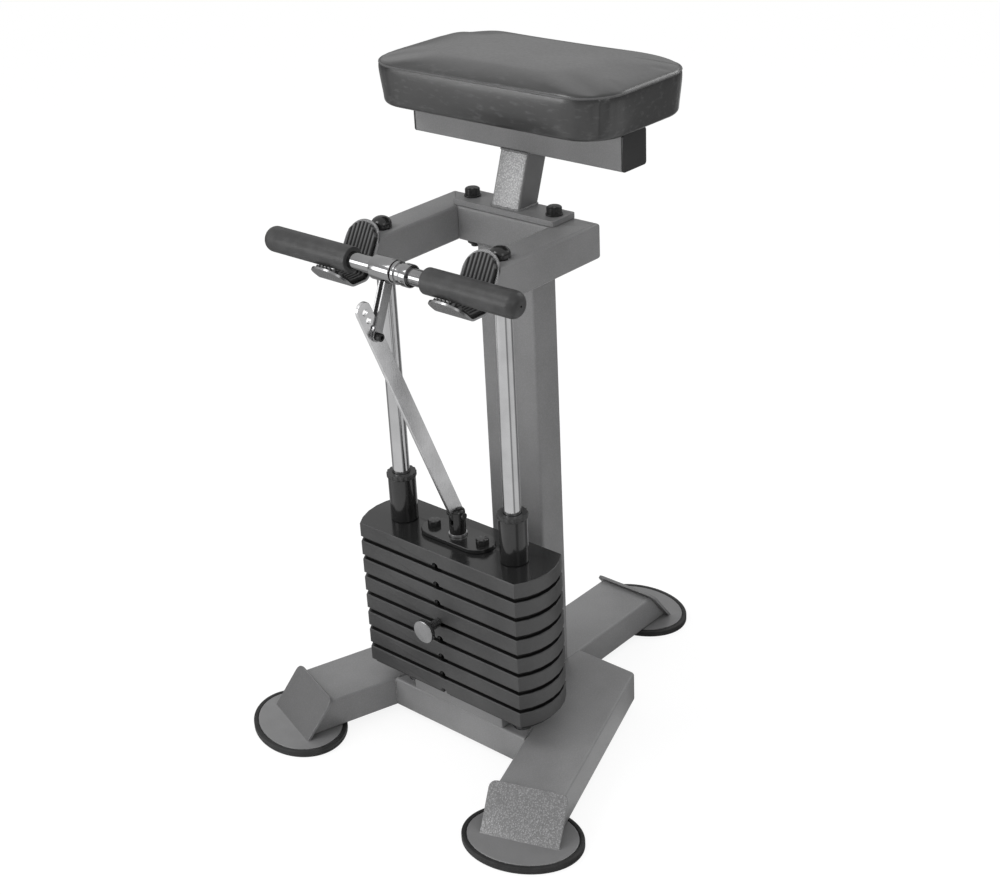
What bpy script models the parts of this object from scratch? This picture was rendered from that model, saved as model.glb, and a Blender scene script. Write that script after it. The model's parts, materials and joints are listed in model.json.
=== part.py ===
# Standing wrist machine: forearm pad on a post, weight stack on guide rods, and a short
# handlebar that lifts the stack through a fork, a link bar and a drilled selector stem.
# Metres, +Z up, the handlebar side faces -Y. The origin is under the middle of the footprint.
import math

import bmesh
import bpy
from mathutils import Matrix, Vector

# General fits
CLEAR = 0.0003              # gap between pieces that touch, are welded or are bolted together
TUBE_CORNER = 0.004         # outer corner radius of every steel tube
TUBE_WALL = 0.003
WELD_DEPTH = 0.002          # how far pieces that are fused run into each other
STEEL_EDGE = 0.001          # chamfer on turned steel

# Feet
FOOT_HEIGHT = 0.0105
FOOT_RIM = 0.007            # rubber outside the steel disc
FOOT_FLOOR = 0.005          # rubber under the steel disc
DISC_HALF_WIDTH = 0.081     # oval disc, across its leg
DISC_HALF_LENGTH = 0.061    # oval disc, along its leg
DISC_EDGE = 0.001
RUBBER_EDGE = 0.0015

# Base
BASE_TUBE = 0.050
LEG_WIDTH = 0.100
LEG_SPLAY = math.radians(19)
LEG_ROD_GAP = 0.0031        # from a guide rod to the leg beside it, along the cross tube
FRONT_FOOT_REACH = 0.208    # along the leg, from the foot of that offset to the disc's middle
REAR_FOOT_REACH = 0.423     # from the guide rods back to the rear disc's middle
END_PLATE_WIDTH = 0.117
END_PLATE_RISE = 0.059
END_PLATE_SETBACK = 0.046   # how far the plate's top edge leans back over its foot
END_PLATE_FOOT = 0.0150     # plate's foot line, outboard of the disc's middle
END_PLATE_THICKNESS = 0.0045
END_PLATE_CORNER = 0.011
GUSSET_THICKNESS = 0.005    # plate in the corner between a front leg and the rear leg

# Upright and yoke, heights from the top of the base
POST_WIDTH = LEG_WIDTH      # the legs' tube, stood on end
POST_DEPTH = 0.050
POST_FRONT = 0.127          # behind the guide rods
YOKE_TUBE = 0.050
YOKE_TOP = 0.725
YOKE_HALF_WIDTH = 0.130
YOKE_REAR = 0.1745          # rear face, behind the guide rods

# Mount plate, slanted post, beam and pad
PLATE_LENGTH = 0.180
PLATE_DEPTH = 0.048
PLATE_THICKNESS = 0.008
PLATE_CORNER = 0.003
MOUNT_BOLT_SPACING = 0.146
MOUNT_BOLT_DIAMETER = 0.012
SLANT_ANGLE = math.radians(19.3)
SLANT_WIDTH = 0.050
SLANT_DEPTH = 0.040
SLANT_FRONT = 0.1315        # front face at its foot, behind the guide rods
BEAM_RISE = 0.074           # from the mount plate up to the beam
BEAM_TUBE = 0.050
BEAM_LENGTH = 0.368
BEAM_FRONT = 0.157
CAP_LIP = 0.003
CAP_SPIGOT = 0.012
CAP_SPIGOT_WALL = 0.002
PAD_LENGTH = 0.408          # at the upper seam
PAD_DEPTH = 0.220
PAD_MIDDLE = 0.190          # behind the guide rods
PAD_CORNER = 0.060
PAD_TUCK = 0.006            # how far the side walls draw in at the bottom
PAD_WALL = 0.061
PAD_CROWN = 0.017
PAD_BOTTOM_WALL = 0.023     # cushion outside the board
BOARD_THICKNESS = 0.012
BOARD_FIT = 0.0006
PAD_BOLT_SPACING = 0.240
PAD_BOLT_DIAMETER = 0.008

# Guide rods and stack
ROD_DIAMETER = 0.025
ROD_SPACING = 0.210
ROD_SOCKET = 0.015          # depth of the rod's seat in the cross tube
ROD_FIT = 0.0006            # radial room in the yoke and the stack
ROD_TAP_DEPTH = 0.020
CAP_STUD_DIAMETER = 0.010
ROD_CAP_DIAMETER = 0.028
ROD_CAP_HEIGHT = 0.014
STACK_LIFT = 0.0367         # height of the block that the stack rests on
REST_LENGTH = 0.175
REST_DEPTH = 0.050
REST_CORNER = 0.003
PLATE_COUNT = 7
PLATE_PITCH = 0.0305
TOP_PLATE_HEIGHT = 0.0298
STACK_HALF_DEPTH = 0.052
STACK_FLAT_HALF = 0.147     # half width of the flat front
STACK_BULGE = 0.018         # rise of the convex ends
GROOVE_HEIGHT = 0.0038
GROOVE_DEPTH = 0.006
PLATE_EDGE = 0.0012
PICKED_PLATES = 3           # plates that hang on the selector pin

# Guide sleeves
SLEEVE_HEIGHT = 0.0683
SLEEVE_WALL = 0.0052
BUSH_WALL = 0.0018
BUSH_RUN = 0.0004           # radial running room on the rod
BUSH_HEAD = 0.0065
BUSH_LIP = 0.002
BUSH_DEPTH = 0.025
BUSH_TEETH = 16
BUSH_TOOTH = 0.0011

# Selector stem, flange and pin
STEM_DIAMETER = 0.024
STEM_FIT = 0.001            # radial room in the plates
STEM_FLANGE_FIT = 0.0004    # radial room in the flange
STEM_TIP = 0.012            # stem below the bottom plate
STEM_TIP_TAPER = 0.004
STEM_COLLAR = 0.0015        # wider than the stem, seated on the flange
STEM_COLLAR_HEIGHT = 0.003
FLANGE_LENGTH = 0.126
FLANGE_DEPTH = 0.050
FLANGE_THICKNESS = 0.006
FLANGE_BOLT_SPACING = 0.092
FLANGE_BOLT_DIAMETER = 0.010
FLANGE_BOLT_GRIP = 0.014
FLANGE_BOLT_HEAD = 0.008
NOTCH_WIDTH = 0.012
NOTCH_HEIGHT = 0.0125
PIN_DIAMETER = 0.0095
PIN_RISE = 0.006            # pin axis above the underside of its plate
PIN_NECK_DIAMETER = 0.013
PIN_NECK_LENGTH = 0.026
PIN_HEAD_DIAMETER = 0.035
PIN_HEAD_THICKNESS = 0.008
PIN_EDGE = 0.0015
PIN_HOLE_FIT = 0.0007

# Link, fork and handlebar
PIVOT_RISE = 0.039          # clevis pivot above the top plate
CLEVIS_TOP = 0.0105         # stem top above the pivot
CLEVIS_DOME = 0.006         # rise of its rounded end
BAR_DROP = 0.0078           # parked bar's axis, below the top of the yoke
BAR_REACH = 0.0969          # parked bar's axis, in front of the guide rods
LINK_WIDTH = 0.0245
LINK_THICKNESS = 0.005
LINK_HOLE_PITCH = 0.0135
LINK_SPARE_HOLES = 3
LINK_END = 0.0145           # from the last hole to the link's rounded tip
JOINT_BOLT_DIAMETER = 0.008
BOLT_FIT = 0.0004
BOLT_TAIL = 0.002           # thread that shows past a nut
CLEVIS_SLOT_FIT = 0.0005
CLEVIS_PIN_HEAD = 0.0025
CLEVIS_PIN_WIDTH = 0.0125   # across its head
FORK_LEAN = math.radians(23.3)
FORK_LENGTH = 0.086         # fork bolt to handlebar axis
FORK_WIDTH = 0.015
FORK_STRIP = 0.003
FORK_BOLT_HEAD = 0.011      # across its round head
FORK_BOLT_SOCKET = 0.005    # across the socket in that head
HUB_LENGTH = 0.036
HUB_CENTRE = -0.004         # hub sleeve's middle, along the bar
HUB_WALL = 0.0045
BAR_DIAMETER = 0.0225
BAR_LENGTH = 0.414
BAR_RUN = 0.0004
BAR_WALL = 0.0025
COLLAR_WALL = 0.0038
COLLAR_NECK_WALL = 0.0018
COLLAR_START = 0.0155
COLLAR_RING = 0.006
COLLAR_NECK = 0.0085
COLLAR_END_RING = 0.012
GRIP_DIAMETER = 0.0355
GRIP_START = 0.058
GRIP_TIP = 0.014            # solid end past the bar
GRIP_ROUND = 0.012
GRIP_VENT = 0.0016
BAR_EDGE = 0.0008           # chamfer on the collar's rings and the grips' mouths

# Cradles
CRADLE_WIDTH = 0.060
CRADLE_SHEET = 0.003
CRADLE_BEND = 0.009
CRADLE_LIP_RISE = math.radians(25)
CRADLE_LEAN = math.radians(30)
CRADLE_STANDOFF = 0.026     # from the parked grip back to the liner
CRADLE_LIP_LENGTH = 0.047
CRADLE_BACK_LENGTH = 0.084
CRADLE_LIP_CORNER = 0.014
LINER_WIDTH = 0.050
LINER_BASE = 0.003
LINER_RIB = 0.002
LINER_RIBS = 6
LINER_INSET = 0.005


def derive():
    """Work out the places that several pieces share, from the sizes above."""
    place = {}
    place["base_low"] = FOOT_HEIGHT + CLEAR
    place["base_top"] = place["base_low"] + BASE_TUBE
    place["leg_side"] = Vector((math.cos(LEG_SPLAY), math.sin(LEG_SPLAY), 0))
    place["leg_run"] = Vector((math.sin(LEG_SPLAY), -math.cos(LEG_SPLAY), 0))
    rod_side = ROD_SPACING / 2 + ROD_DIAMETER / 2 + LEG_ROD_GAP
    place["leg_inner"] = rod_side * math.cos(LEG_SPLAY)
    place["leg_offset"] = place["leg_inner"] + LEG_WIDTH / 2
    place["front_foot"] = place["leg_side"] * place["leg_offset"] + place["leg_run"] * FRONT_FOOT_REACH
    rubber_x = DISC_HALF_WIDTH + FOOT_RIM
    rubber_y = DISC_HALF_LENGTH + FOOT_RIM
    turned_y = math.hypot(rubber_x * math.sin(LEG_SPLAY), rubber_y * math.cos(LEG_SPLAY))
    front_reach = place["front_foot"].y - turned_y
    rear_reach = REAR_FOOT_REACH + rubber_y
    place["rail_y"] = -(front_reach + rear_reach) / 2
    place["yoke_top"] = place["base_top"] + YOKE_TOP
    place["yoke_low"] = place["yoke_top"] - YOKE_TUBE
    place["plate_low"] = place["yoke_top"] + CLEAR
    place["plate_top"] = place["plate_low"] + PLATE_THICKNESS
    place["beam_low"] = place["plate_top"] + BEAM_RISE
    place["beam_top"] = place["beam_low"] + BEAM_TUBE
    place["pad_low"] = place["beam_top"] + CLEAR
    place["stack_low"] = place["base_top"] + STACK_LIFT
    place["top_plate_low"] = place["stack_low"] + PLATE_COUNT * PLATE_PITCH
    place["stack_top"] = place["top_plate_low"] + TOP_PLATE_HEIGHT
    place["flange_low"] = place["stack_top"] + CLEAR
    place["flange_top"] = place["flange_low"] + FLANGE_THICKNESS
    place["pivot"] = Vector((0, 0, place["stack_top"] + PIVOT_RISE))
    fork_way = Vector((0, math.sin(FORK_LEAN), math.cos(FORK_LEAN)))
    place["bar"] = Vector((0, -BAR_REACH, place["yoke_top"] - BAR_DROP))
    place["fork_bolt"] = place["bar"] - fork_way * FORK_LENGTH
    link_run = place["fork_bolt"] - place["pivot"]
    place["link_length"] = link_run.length
    place["link_lean"] = math.atan2(-link_run.y, link_run.z)
    place["pin_z"] = place["top_plate_low"] - PICKED_PLATES * PLATE_PITCH + PIN_RISE
    return place


PLACE = derive()
UP = Vector((0, 0, 1))


# Materials

def make_material(name, colour, roughness, metallic):
    material = bpy.data.materials.new(name)
    material.use_nodes = True
    shader = material.node_tree.nodes["Principled BSDF"]
    shader.inputs["Base Color"].default_value = (*colour, 1)
    shader.inputs["Roughness"].default_value = roughness
    shader.inputs["Metallic"].default_value = metallic
    return material


# Outlines, lists of (x, y) points that run anticlockwise

def arc(centre, radius, start, end, steps):
    angles = [math.radians(start + (end - start) * step / steps) for step in range(steps + 1)]
    return [(centre[0] + radius * math.cos(a), centre[1] + radius * math.sin(a)) for a in angles]


def rounded_rectangle(width, depth, radius, steps=3):
    x = width / 2 - radius
    y = depth / 2 - radius
    corners = [((x, -y), -90), ((x, y), 0), ((-x, y), 90), ((-x, -y), 180)]
    points = []
    for centre, start in corners:
        points += arc(centre, radius, start, start + 90, steps)
    return points


def circle(radius, count, turn=0.0):
    angles = [math.tau * step / count + turn for step in range(count)]
    return [(radius * math.cos(a), radius * math.sin(a)) for a in angles]


def oval(half_x, half_y, count):
    return [(x * half_x, y * half_y) for x, y in circle(1, count)]


def hexagon(across, count=12):
    """A hexagon's outline with points at its corners and along its flats."""
    points = []
    for step in range(count):
        angle = math.tau * step / count
        lean = (angle + math.radians(30)) % math.radians(60) - math.radians(30)
        radius = across / 2 / math.cos(lean)
        points.append((radius * math.cos(angle), radius * math.sin(angle)))
    return points


def stack_outline(inset):
    """A weight plate's outline: flat front and back, convex ends."""
    radius = (STACK_HALF_DEPTH ** 2 + STACK_BULGE ** 2) / (2 * STACK_BULGE)
    centre = STACK_FLAT_HALF + STACK_BULGE - radius
    half_depth = STACK_HALF_DEPTH - inset
    sweep = math.degrees(math.asin(half_depth / (radius - inset)))
    right = arc((centre, 0), radius - inset, -sweep, sweep, 6)
    return right + [(-x, -y) for x, y in right]


# Solids as bmeshes

def at_height(outline, z):
    return [(x, y, z) for x, y in outline]


def loft(rings, hollow=False):
    """Join rings of equally many points. A ring of one point is a pole; hollow joins last to first."""
    bm = bmesh.new()
    loops = [[bm.verts.new(point) for point in ring] for ring in rings]
    pairs = list(zip(loops, loops[1:]))
    if hollow:
        pairs.append((loops[-1], loops[0]))
    for low, high in pairs:
        count = max(len(low), len(high))
        for i in range(count):
            j = (i + 1) % count
            if len(low) == 1:
                bm.faces.new((low[0], high[j], high[i]))
            elif len(high) == 1:
                bm.faces.new((low[i], low[j], high[0]))
            else:
                bm.faces.new((low[i], low[j], high[j], high[i]))
    if not hollow:
        for end in (loops[0], loops[-1]):
            if len(end) > 1:
                bm.faces.new(end)
    bmesh.ops.recalc_face_normals(bm, faces=bm.faces[:])
    return bm


def prism(outline, low, high):
    return loft([at_height(outline, low), at_height(outline, high)])


def turned(profile, count=20, hollow=False):
    """Turn (radius, height) points round Z, from the bottom up; radius 0 is a pole."""
    rings = []
    for radius, z in profile:
        rings.append([(0, 0, z)] if radius == 0 else at_height(circle(radius, count), z))
    return loft(rings, hollow)


def ring_solid(inner, outer, low, high, count=20):
    return turned([(inner, low), (outer, low), (outer, high), (inner, high)], count, hollow=True)


def merged(*parts):
    """Put several separate closed bodies in one bmesh."""
    bm = bmesh.new()
    for part in parts:
        mesh = bpy.data.meshes.new("part")
        part.to_mesh(mesh)
        part.free()
        bm.from_mesh(mesh)
        bpy.data.meshes.remove(mesh)
    return bm


def moved(bm, offset=(0, 0, 0), axis=None, angle=0.0):
    """Turn a bmesh about an axis through the origin, then shift it."""
    if axis:
        bmesh.ops.rotate(bm, verts=bm.verts[:], cent=(0, 0, 0), matrix=Matrix.Rotation(angle, 3, axis))
    bmesh.ops.translate(bm, verts=bm.verts[:], vec=Vector(offset))
    return bm


def trimmed(bm, point, normal):
    """Cut off what lies beyond a plane, on the side its normal points to, and close the cut."""
    geometry = bm.verts[:] + bm.edges[:] + bm.faces[:]
    bmesh.ops.bisect_plane(bm, geom=geometry, plane_co=Vector(point), plane_no=Vector(normal), clear_outer=True)
    open_edges = [edge for edge in bm.edges if edge.is_boundary]
    bmesh.ops.holes_fill(bm, edges=open_edges, sides=0)
    bmesh.ops.recalc_face_normals(bm, faces=bm.faces[:])
    return bm


def inner_corner():
    return max(TUBE_CORNER - TUBE_WALL, TUBE_CORNER / 4)


def bar_along_x(width, height, length, corner=TUBE_CORNER):
    """A tube's outer form along X, with its width in Y."""
    bm = prism(rounded_rectangle(height, width, corner), -length / 2, length / 2)
    return moved(bm, axis="Y", angle=math.pi / 2)


def bar_along_y(width, height, length, corner=TUBE_CORNER):
    """A tube's outer form along Y, with its width in X."""
    bm = prism(rounded_rectangle(width, height, corner), -length / 2, length / 2)
    return moved(bm, axis="X", angle=math.pi / 2)


def bore_along_x(width, height, length):
    """The inside of a tube of that outer size."""
    return bar_along_x(width - 2 * TUBE_WALL, height - 2 * TUBE_WALL, length, inner_corner())


def bore_along_y(width, height, length):
    return bar_along_y(width - 2 * TUBE_WALL, height - 2 * TUBE_WALL, length, inner_corner())


def hex_bolt(diameter, grip, across, head, washer=0.0, washer_height=0.0, nut=0.0, past=0.0, socket=0.0):
    """A bolt hanging down from z = 0, its head above: a hexagon, or round where it has a hexagon socket.

    It may have a washer under the head, and a nut just past its grip with some thread below it."""
    chamfer = diameter * 0.08
    shank = diameter / 2
    tip = grip + nut + past
    rings = [at_height(circle(shank - chamfer, 12), -tip), at_height(circle(shank, 12), -tip + chamfer)]
    if nut:
        rings += [at_height(circle(shank, 12), -grip - nut), at_height(hexagon(across), -grip - nut)]
        rings += [at_height(hexagon(across), -grip), at_height(circle(shank, 12), -grip)]
    rings.append(at_height(circle(shank, 12), 0))
    if washer:
        rings += [at_height(circle(washer / 2, 12), 0), at_height(circle(washer / 2, 12), washer_height)]
    outline = circle(across / 2, 12) if socket else hexagon(across)
    top = washer_height + head
    rings += [at_height(outline, washer_height), at_height(outline, top - chamfer)]
    rings.append(at_height(circle(across / 2 - chamfer, 12), top))
    if socket:
        rings += [at_height(hexagon(socket), top), at_height(hexagon(socket), top - head / 2)]
    return loft(rings)


# Objects

def place_object(name, bm, material, parent, location=(0, 0, 0), rotation=(0, 0, 0), smooth=40):
    mesh = bpy.data.meshes.new(name)
    bm.to_mesh(mesh)
    bm.free()
    mesh.materials.append(material)
    mesh.shade_smooth()
    mesh.set_sharp_from_angle(angle=math.radians(smooth))
    thing = bpy.data.objects.new(name, mesh)
    bpy.context.collection.objects.link(thing)
    thing.parent = parent
    thing.location = location
    thing.rotation_euler = rotation
    return thing


def place_guide(name, bm, parent, location=(0, 0, 0), rotation=(0, 0, 0)):
    """A cutter: it shapes other pieces and isn't one itself."""
    mesh = bpy.data.meshes.new(name)
    bm.to_mesh(mesh)
    bm.free()
    guide = bpy.data.objects.new(name, mesh)
    bpy.context.collection.objects.link(guide)
    guide.parent = parent
    guide.location = location
    guide.rotation_euler = rotation
    guide.hide_render = True
    guide.display_type = "WIRE"
    return guide


def place_empty(name, parent, location=(0, 0, 0)):
    empty = bpy.data.objects.new(name, None)
    bpy.context.collection.objects.link(empty)
    empty.parent = parent
    empty.location = location
    return empty


def combine(thing, operation, guides):
    for guide in guides:
        modifier = thing.modifiers.new(guide.name, "BOOLEAN")
        modifier.operation = operation
        modifier.solver = "EXACT"
        modifier.object = guide


def cut(thing, *cutters):
    combine(thing, "DIFFERENCE", cutters)


def join(thing, *additions):
    combine(thing, "UNION", additions)


# Feet and base

def build_foot(name, centre, heading, machine, paint, rubber):
    """One foot: a rubber dish, and the oval steel disc in it with the sloping end plate welded on."""
    turn = (0, 0, heading)
    count = 36
    disc_low = FOOT_FLOOR + CLEAR
    rubber_x = DISC_HALF_WIDTH + FOOT_RIM
    rubber_y = DISC_HALF_LENGTH + FOOT_RIM
    seat_x = DISC_HALF_WIDTH + CLEAR
    seat_y = DISC_HALF_LENGTH + CLEAR
    rings = [
        at_height(oval(rubber_x - RUBBER_EDGE, rubber_y - RUBBER_EDGE, count), 0),
        at_height(oval(rubber_x, rubber_y, count), RUBBER_EDGE),
        at_height(oval(rubber_x, rubber_y, count), FOOT_HEIGHT - RUBBER_EDGE),
        at_height(oval(rubber_x - RUBBER_EDGE, rubber_y - RUBBER_EDGE, count), FOOT_HEIGHT),
        at_height(oval(seat_x, seat_y, count), FOOT_HEIGHT),
        at_height(oval(seat_x, seat_y, count), FOOT_FLOOR),
    ]
    place_object("foot_rubber_" + name, loft(rings), rubber, machine, centre, turn)
    rings = [
        at_height(oval(DISC_HALF_WIDTH, DISC_HALF_LENGTH, count), disc_low),
        at_height(oval(DISC_HALF_WIDTH, DISC_HALF_LENGTH, count), FOOT_HEIGHT - DISC_EDGE),
        at_height(oval(DISC_HALF_WIDTH - DISC_EDGE, DISC_HALF_LENGTH - DISC_EDGE, count), FOOT_HEIGHT),
    ]
    foot_plate = place_object("foot_plate_" + name, loft(rings), paint, machine, centre, turn)

    slope = math.atan2(END_PLATE_SETBACK, END_PLATE_RISE)
    length = math.hypot(END_PLATE_SETBACK, END_PLATE_RISE)
    spare = END_PLATE_THICKNESS
    half = END_PLATE_WIDTH / 2
    corner = END_PLATE_CORNER
    outline = [(-half, -spare), (half, -spare)]
    outline += arc((half - corner, length - corner), corner, 0, 90, 5)
    outline += arc((corner - half, length - corner), corner, 90, 180, 5)
    plate = moved(prism(outline, -END_PLATE_THICKNESS, 0), axis="X", angle=math.pi / 2)
    plate = moved(plate, axis="X", angle=-slope)
    plate = trimmed(plate, (0, 0, -WELD_DEPTH), (0, 0, -1))
    foot_line = Matrix.Rotation(heading, 3, "Z") @ Vector((0, -END_PLATE_FOOT, 0))
    location = Vector(centre) + foot_line + UP * FOOT_HEIGHT
    join(foot_plate, place_guide("end_plate_guide_" + name, plate, machine, location, turn))


def gusset_plate(side, leg_rear):
    """The plate just below the tubes' tops, in the corner of a front leg, the cross tube and the rear leg."""
    near = LEG_WIDTH / 2 + CLEAR
    front = BASE_TUBE / 2 + CLEAR
    back = leg_rear - CLEAR
    weld_line = PLACE["leg_inner"] + 2 * TUBE_CORNER
    weld_x = [(weld_line - y * PLACE["leg_side"].y) / PLACE["leg_side"].x for y in (front, back)]
    outline = [(near, front), (weld_x[0], front), (weld_x[1], back), (near, back)]
    outline = [(side * x, y) for x, y in outline][::side]
    top = PLACE["base_top"] - CLEAR
    return prism(outline, top - GUSSET_THICKNESS, top)


def leg_cut(centre, heading):
    """The plane behind an end plate where the leg tube is cut off: a point and an outward normal."""
    slope = math.atan2(END_PLATE_SETBACK, END_PLATE_RISE)
    outward = Matrix.Rotation(heading, 3, "Z") @ Vector((0, -math.cos(slope), math.sin(slope)))
    foot_line = Matrix.Rotation(heading, 3, "Z") @ Vector((0, -END_PLATE_FOOT, 0))
    point = Vector(centre) + foot_line + UP * FOOT_HEIGHT
    return point - outward * (END_PLATE_THICKNESS + CLEAR), outward


def build_base(machine, paint, rubber, rod_bores):
    middle = PLACE["base_low"] + BASE_TUBE / 2
    offset = PLACE["leg_offset"]
    inner = PLACE["leg_inner"] - CLEAR
    cross = moved(bar_along_x(BASE_TUBE, BASE_TUBE, 2 * offset), (0, 0, middle))
    for side in (-1, 1):
        square = Vector((side * PLACE["leg_side"].x, PLACE["leg_side"].y, 0))
        cross = trimmed(cross, square * inner, square)
    cross_tube = place_object("base_cross_tube", moved(cross, (0, 0, -middle)), paint, machine, (0, 0, middle))
    inside = bore_along_x(BASE_TUBE, BASE_TUBE, 4 * offset)
    cut(cross_tube, place_guide("cross_inside_guide", inside, machine, (0, 0, middle)), rod_bores)

    # The rear end of each front leg stops where its inner side meets the rear leg.
    rear_side = LEG_WIDTH / 2 + CLEAR
    leg_rear = (PLACE["leg_inner"] - rear_side * PLACE["leg_side"].x) / PLACE["leg_side"].y
    for name, side in (("left", -1), ("right", 1)):
        centre = Vector((side * PLACE["front_foot"].x, PLACE["front_foot"].y, 0))
        heading = side * LEG_SPLAY
        root = Vector((side * PLACE["leg_side"].x, PLACE["leg_side"].y, 0)) * offset + UP * middle
        turn = Matrix.Rotation(heading, 3, "Z")
        leg = bar_along_y(LEG_WIDTH, BASE_TUBE, 2 * (FRONT_FOOT_REACH + LEG_WIDTH))
        point, outward = leg_cut(centre, heading)
        leg = trimmed(leg, turn.inverted() @ (point - root), turn.inverted() @ outward)
        rear_point = Vector((0, leg_rear, middle))
        leg = trimmed(leg, turn.inverted() @ (rear_point - root), turn.inverted() @ Vector((0, 1, 0)))
        inside = bore_along_y(LEG_WIDTH, BASE_TUBE, 4 * (FRONT_FOOT_REACH + LEG_WIDTH))
        closed_end = turn.inverted() @ (rear_point - Vector((0, TUBE_WALL, 0)) - root)
        inside = trimmed(inside, closed_end, turn.inverted() @ Vector((0, 1, 0)))
        leg = place_object("base_leg_" + name, leg, paint, machine, root, (0, 0, heading))
        join(leg, place_guide("gusset_guide_" + name, gusset_plate(side, leg_rear), machine))
        cut(leg, place_guide("leg_inside_guide_" + name, inside, machine, root, (0, 0, heading)))
        build_foot(name, centre, heading, machine, paint, rubber)

    rear_centre = Vector((0, REAR_FOOT_REACH, 0))
    root = Vector((0, BASE_TUBE / 2 + CLEAR, middle))
    leg = bar_along_y(LEG_WIDTH, BASE_TUBE, 2 * (REAR_FOOT_REACH + LEG_WIDTH))
    point, outward = leg_cut(rear_centre, math.pi)
    leg = trimmed(leg, point - root, outward)
    leg = trimmed(leg, (0, 0, 0), (0, -1, 0))
    inside = bore_along_y(LEG_WIDTH, BASE_TUBE, 4 * (REAR_FOOT_REACH + LEG_WIDTH))
    leg = place_object("base_leg_rear", leg, paint, machine, root)
    cut(leg, place_guide("leg_inside_guide_rear", inside, machine, root))
    build_foot("rear", rear_centre, math.pi, machine, paint, rubber)


# Upright, yoke and pad

def build_upright(machine, paint):
    low = PLACE["base_top"] + CLEAR
    high = PLACE["yoke_low"] - CLEAR
    outer = rounded_rectangle(POST_WIDTH, POST_DEPTH, TUBE_CORNER)
    inner = rounded_rectangle(POST_WIDTH - 2 * TUBE_WALL, POST_DEPTH - 2 * TUBE_WALL, inner_corner())
    height = high - low
    rings = [at_height(inner, 0), at_height(outer, 0), at_height(outer, height), at_height(inner, height)]
    post = loft(rings, hollow=True)
    place_object("upright_post", post, paint, machine, (0, POST_FRONT + POST_DEPTH / 2, low))


def build_yoke(machine, paint, rod_bores, bolt_bores):
    """Three tubes with mitred rear corners; the arms' front ends are cut parallel to the cradles."""
    middle = PLACE["yoke_low"] + YOKE_TUBE / 2
    corner_x = YOKE_HALF_WIDTH - YOKE_TUBE / 2
    corner_y = YOKE_REAR - YOKE_TUBE / 2
    cross = bar_along_x(YOKE_TUBE, YOKE_TUBE, 2 * YOKE_HALF_WIDTH + YOKE_TUBE)
    for side in (-1, 1):
        square = Vector((side, -1, 0)).normalized()
        cross = trimmed(cross, Vector((side * corner_x, 0, 0)) - square * CLEAR / 2, square)
    cross_tube = place_object("yoke_cross_tube", cross, paint, machine, (0, corner_y, middle))
    inside = bore_along_x(YOKE_TUBE, YOKE_TUBE, 4 * YOKE_HALF_WIDTH)
    cut(cross_tube, place_guide("yoke_inside_guide", inside, machine, (0, corner_y, middle)), bolt_bores)
    back_point, back_normal = cradle_back()
    for name, side in (("left", -1), ("right", 1)):
        arm = bar_along_y(YOKE_TUBE, YOKE_TUBE, 2 * (corner_y + YOKE_TUBE))
        square = Vector((-side, 1, 0)).normalized()
        root = Vector((side * corner_x, corner_y, middle))
        arm = trimmed(arm, -square * CLEAR / 2, square)
        arm = trimmed(arm, back_point - root, back_normal)
        inside = bore_along_y(YOKE_TUBE, YOKE_TUBE, 4 * (corner_y + YOKE_TUBE))
        inside = trimmed(inside, back_point - back_normal * TUBE_WALL - root, back_normal)
        arm = place_object("yoke_arm_" + name, arm, paint, machine, root)
        cut(arm, place_guide("arm_inside_guide_" + name, inside, machine, root), rod_bores)


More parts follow.
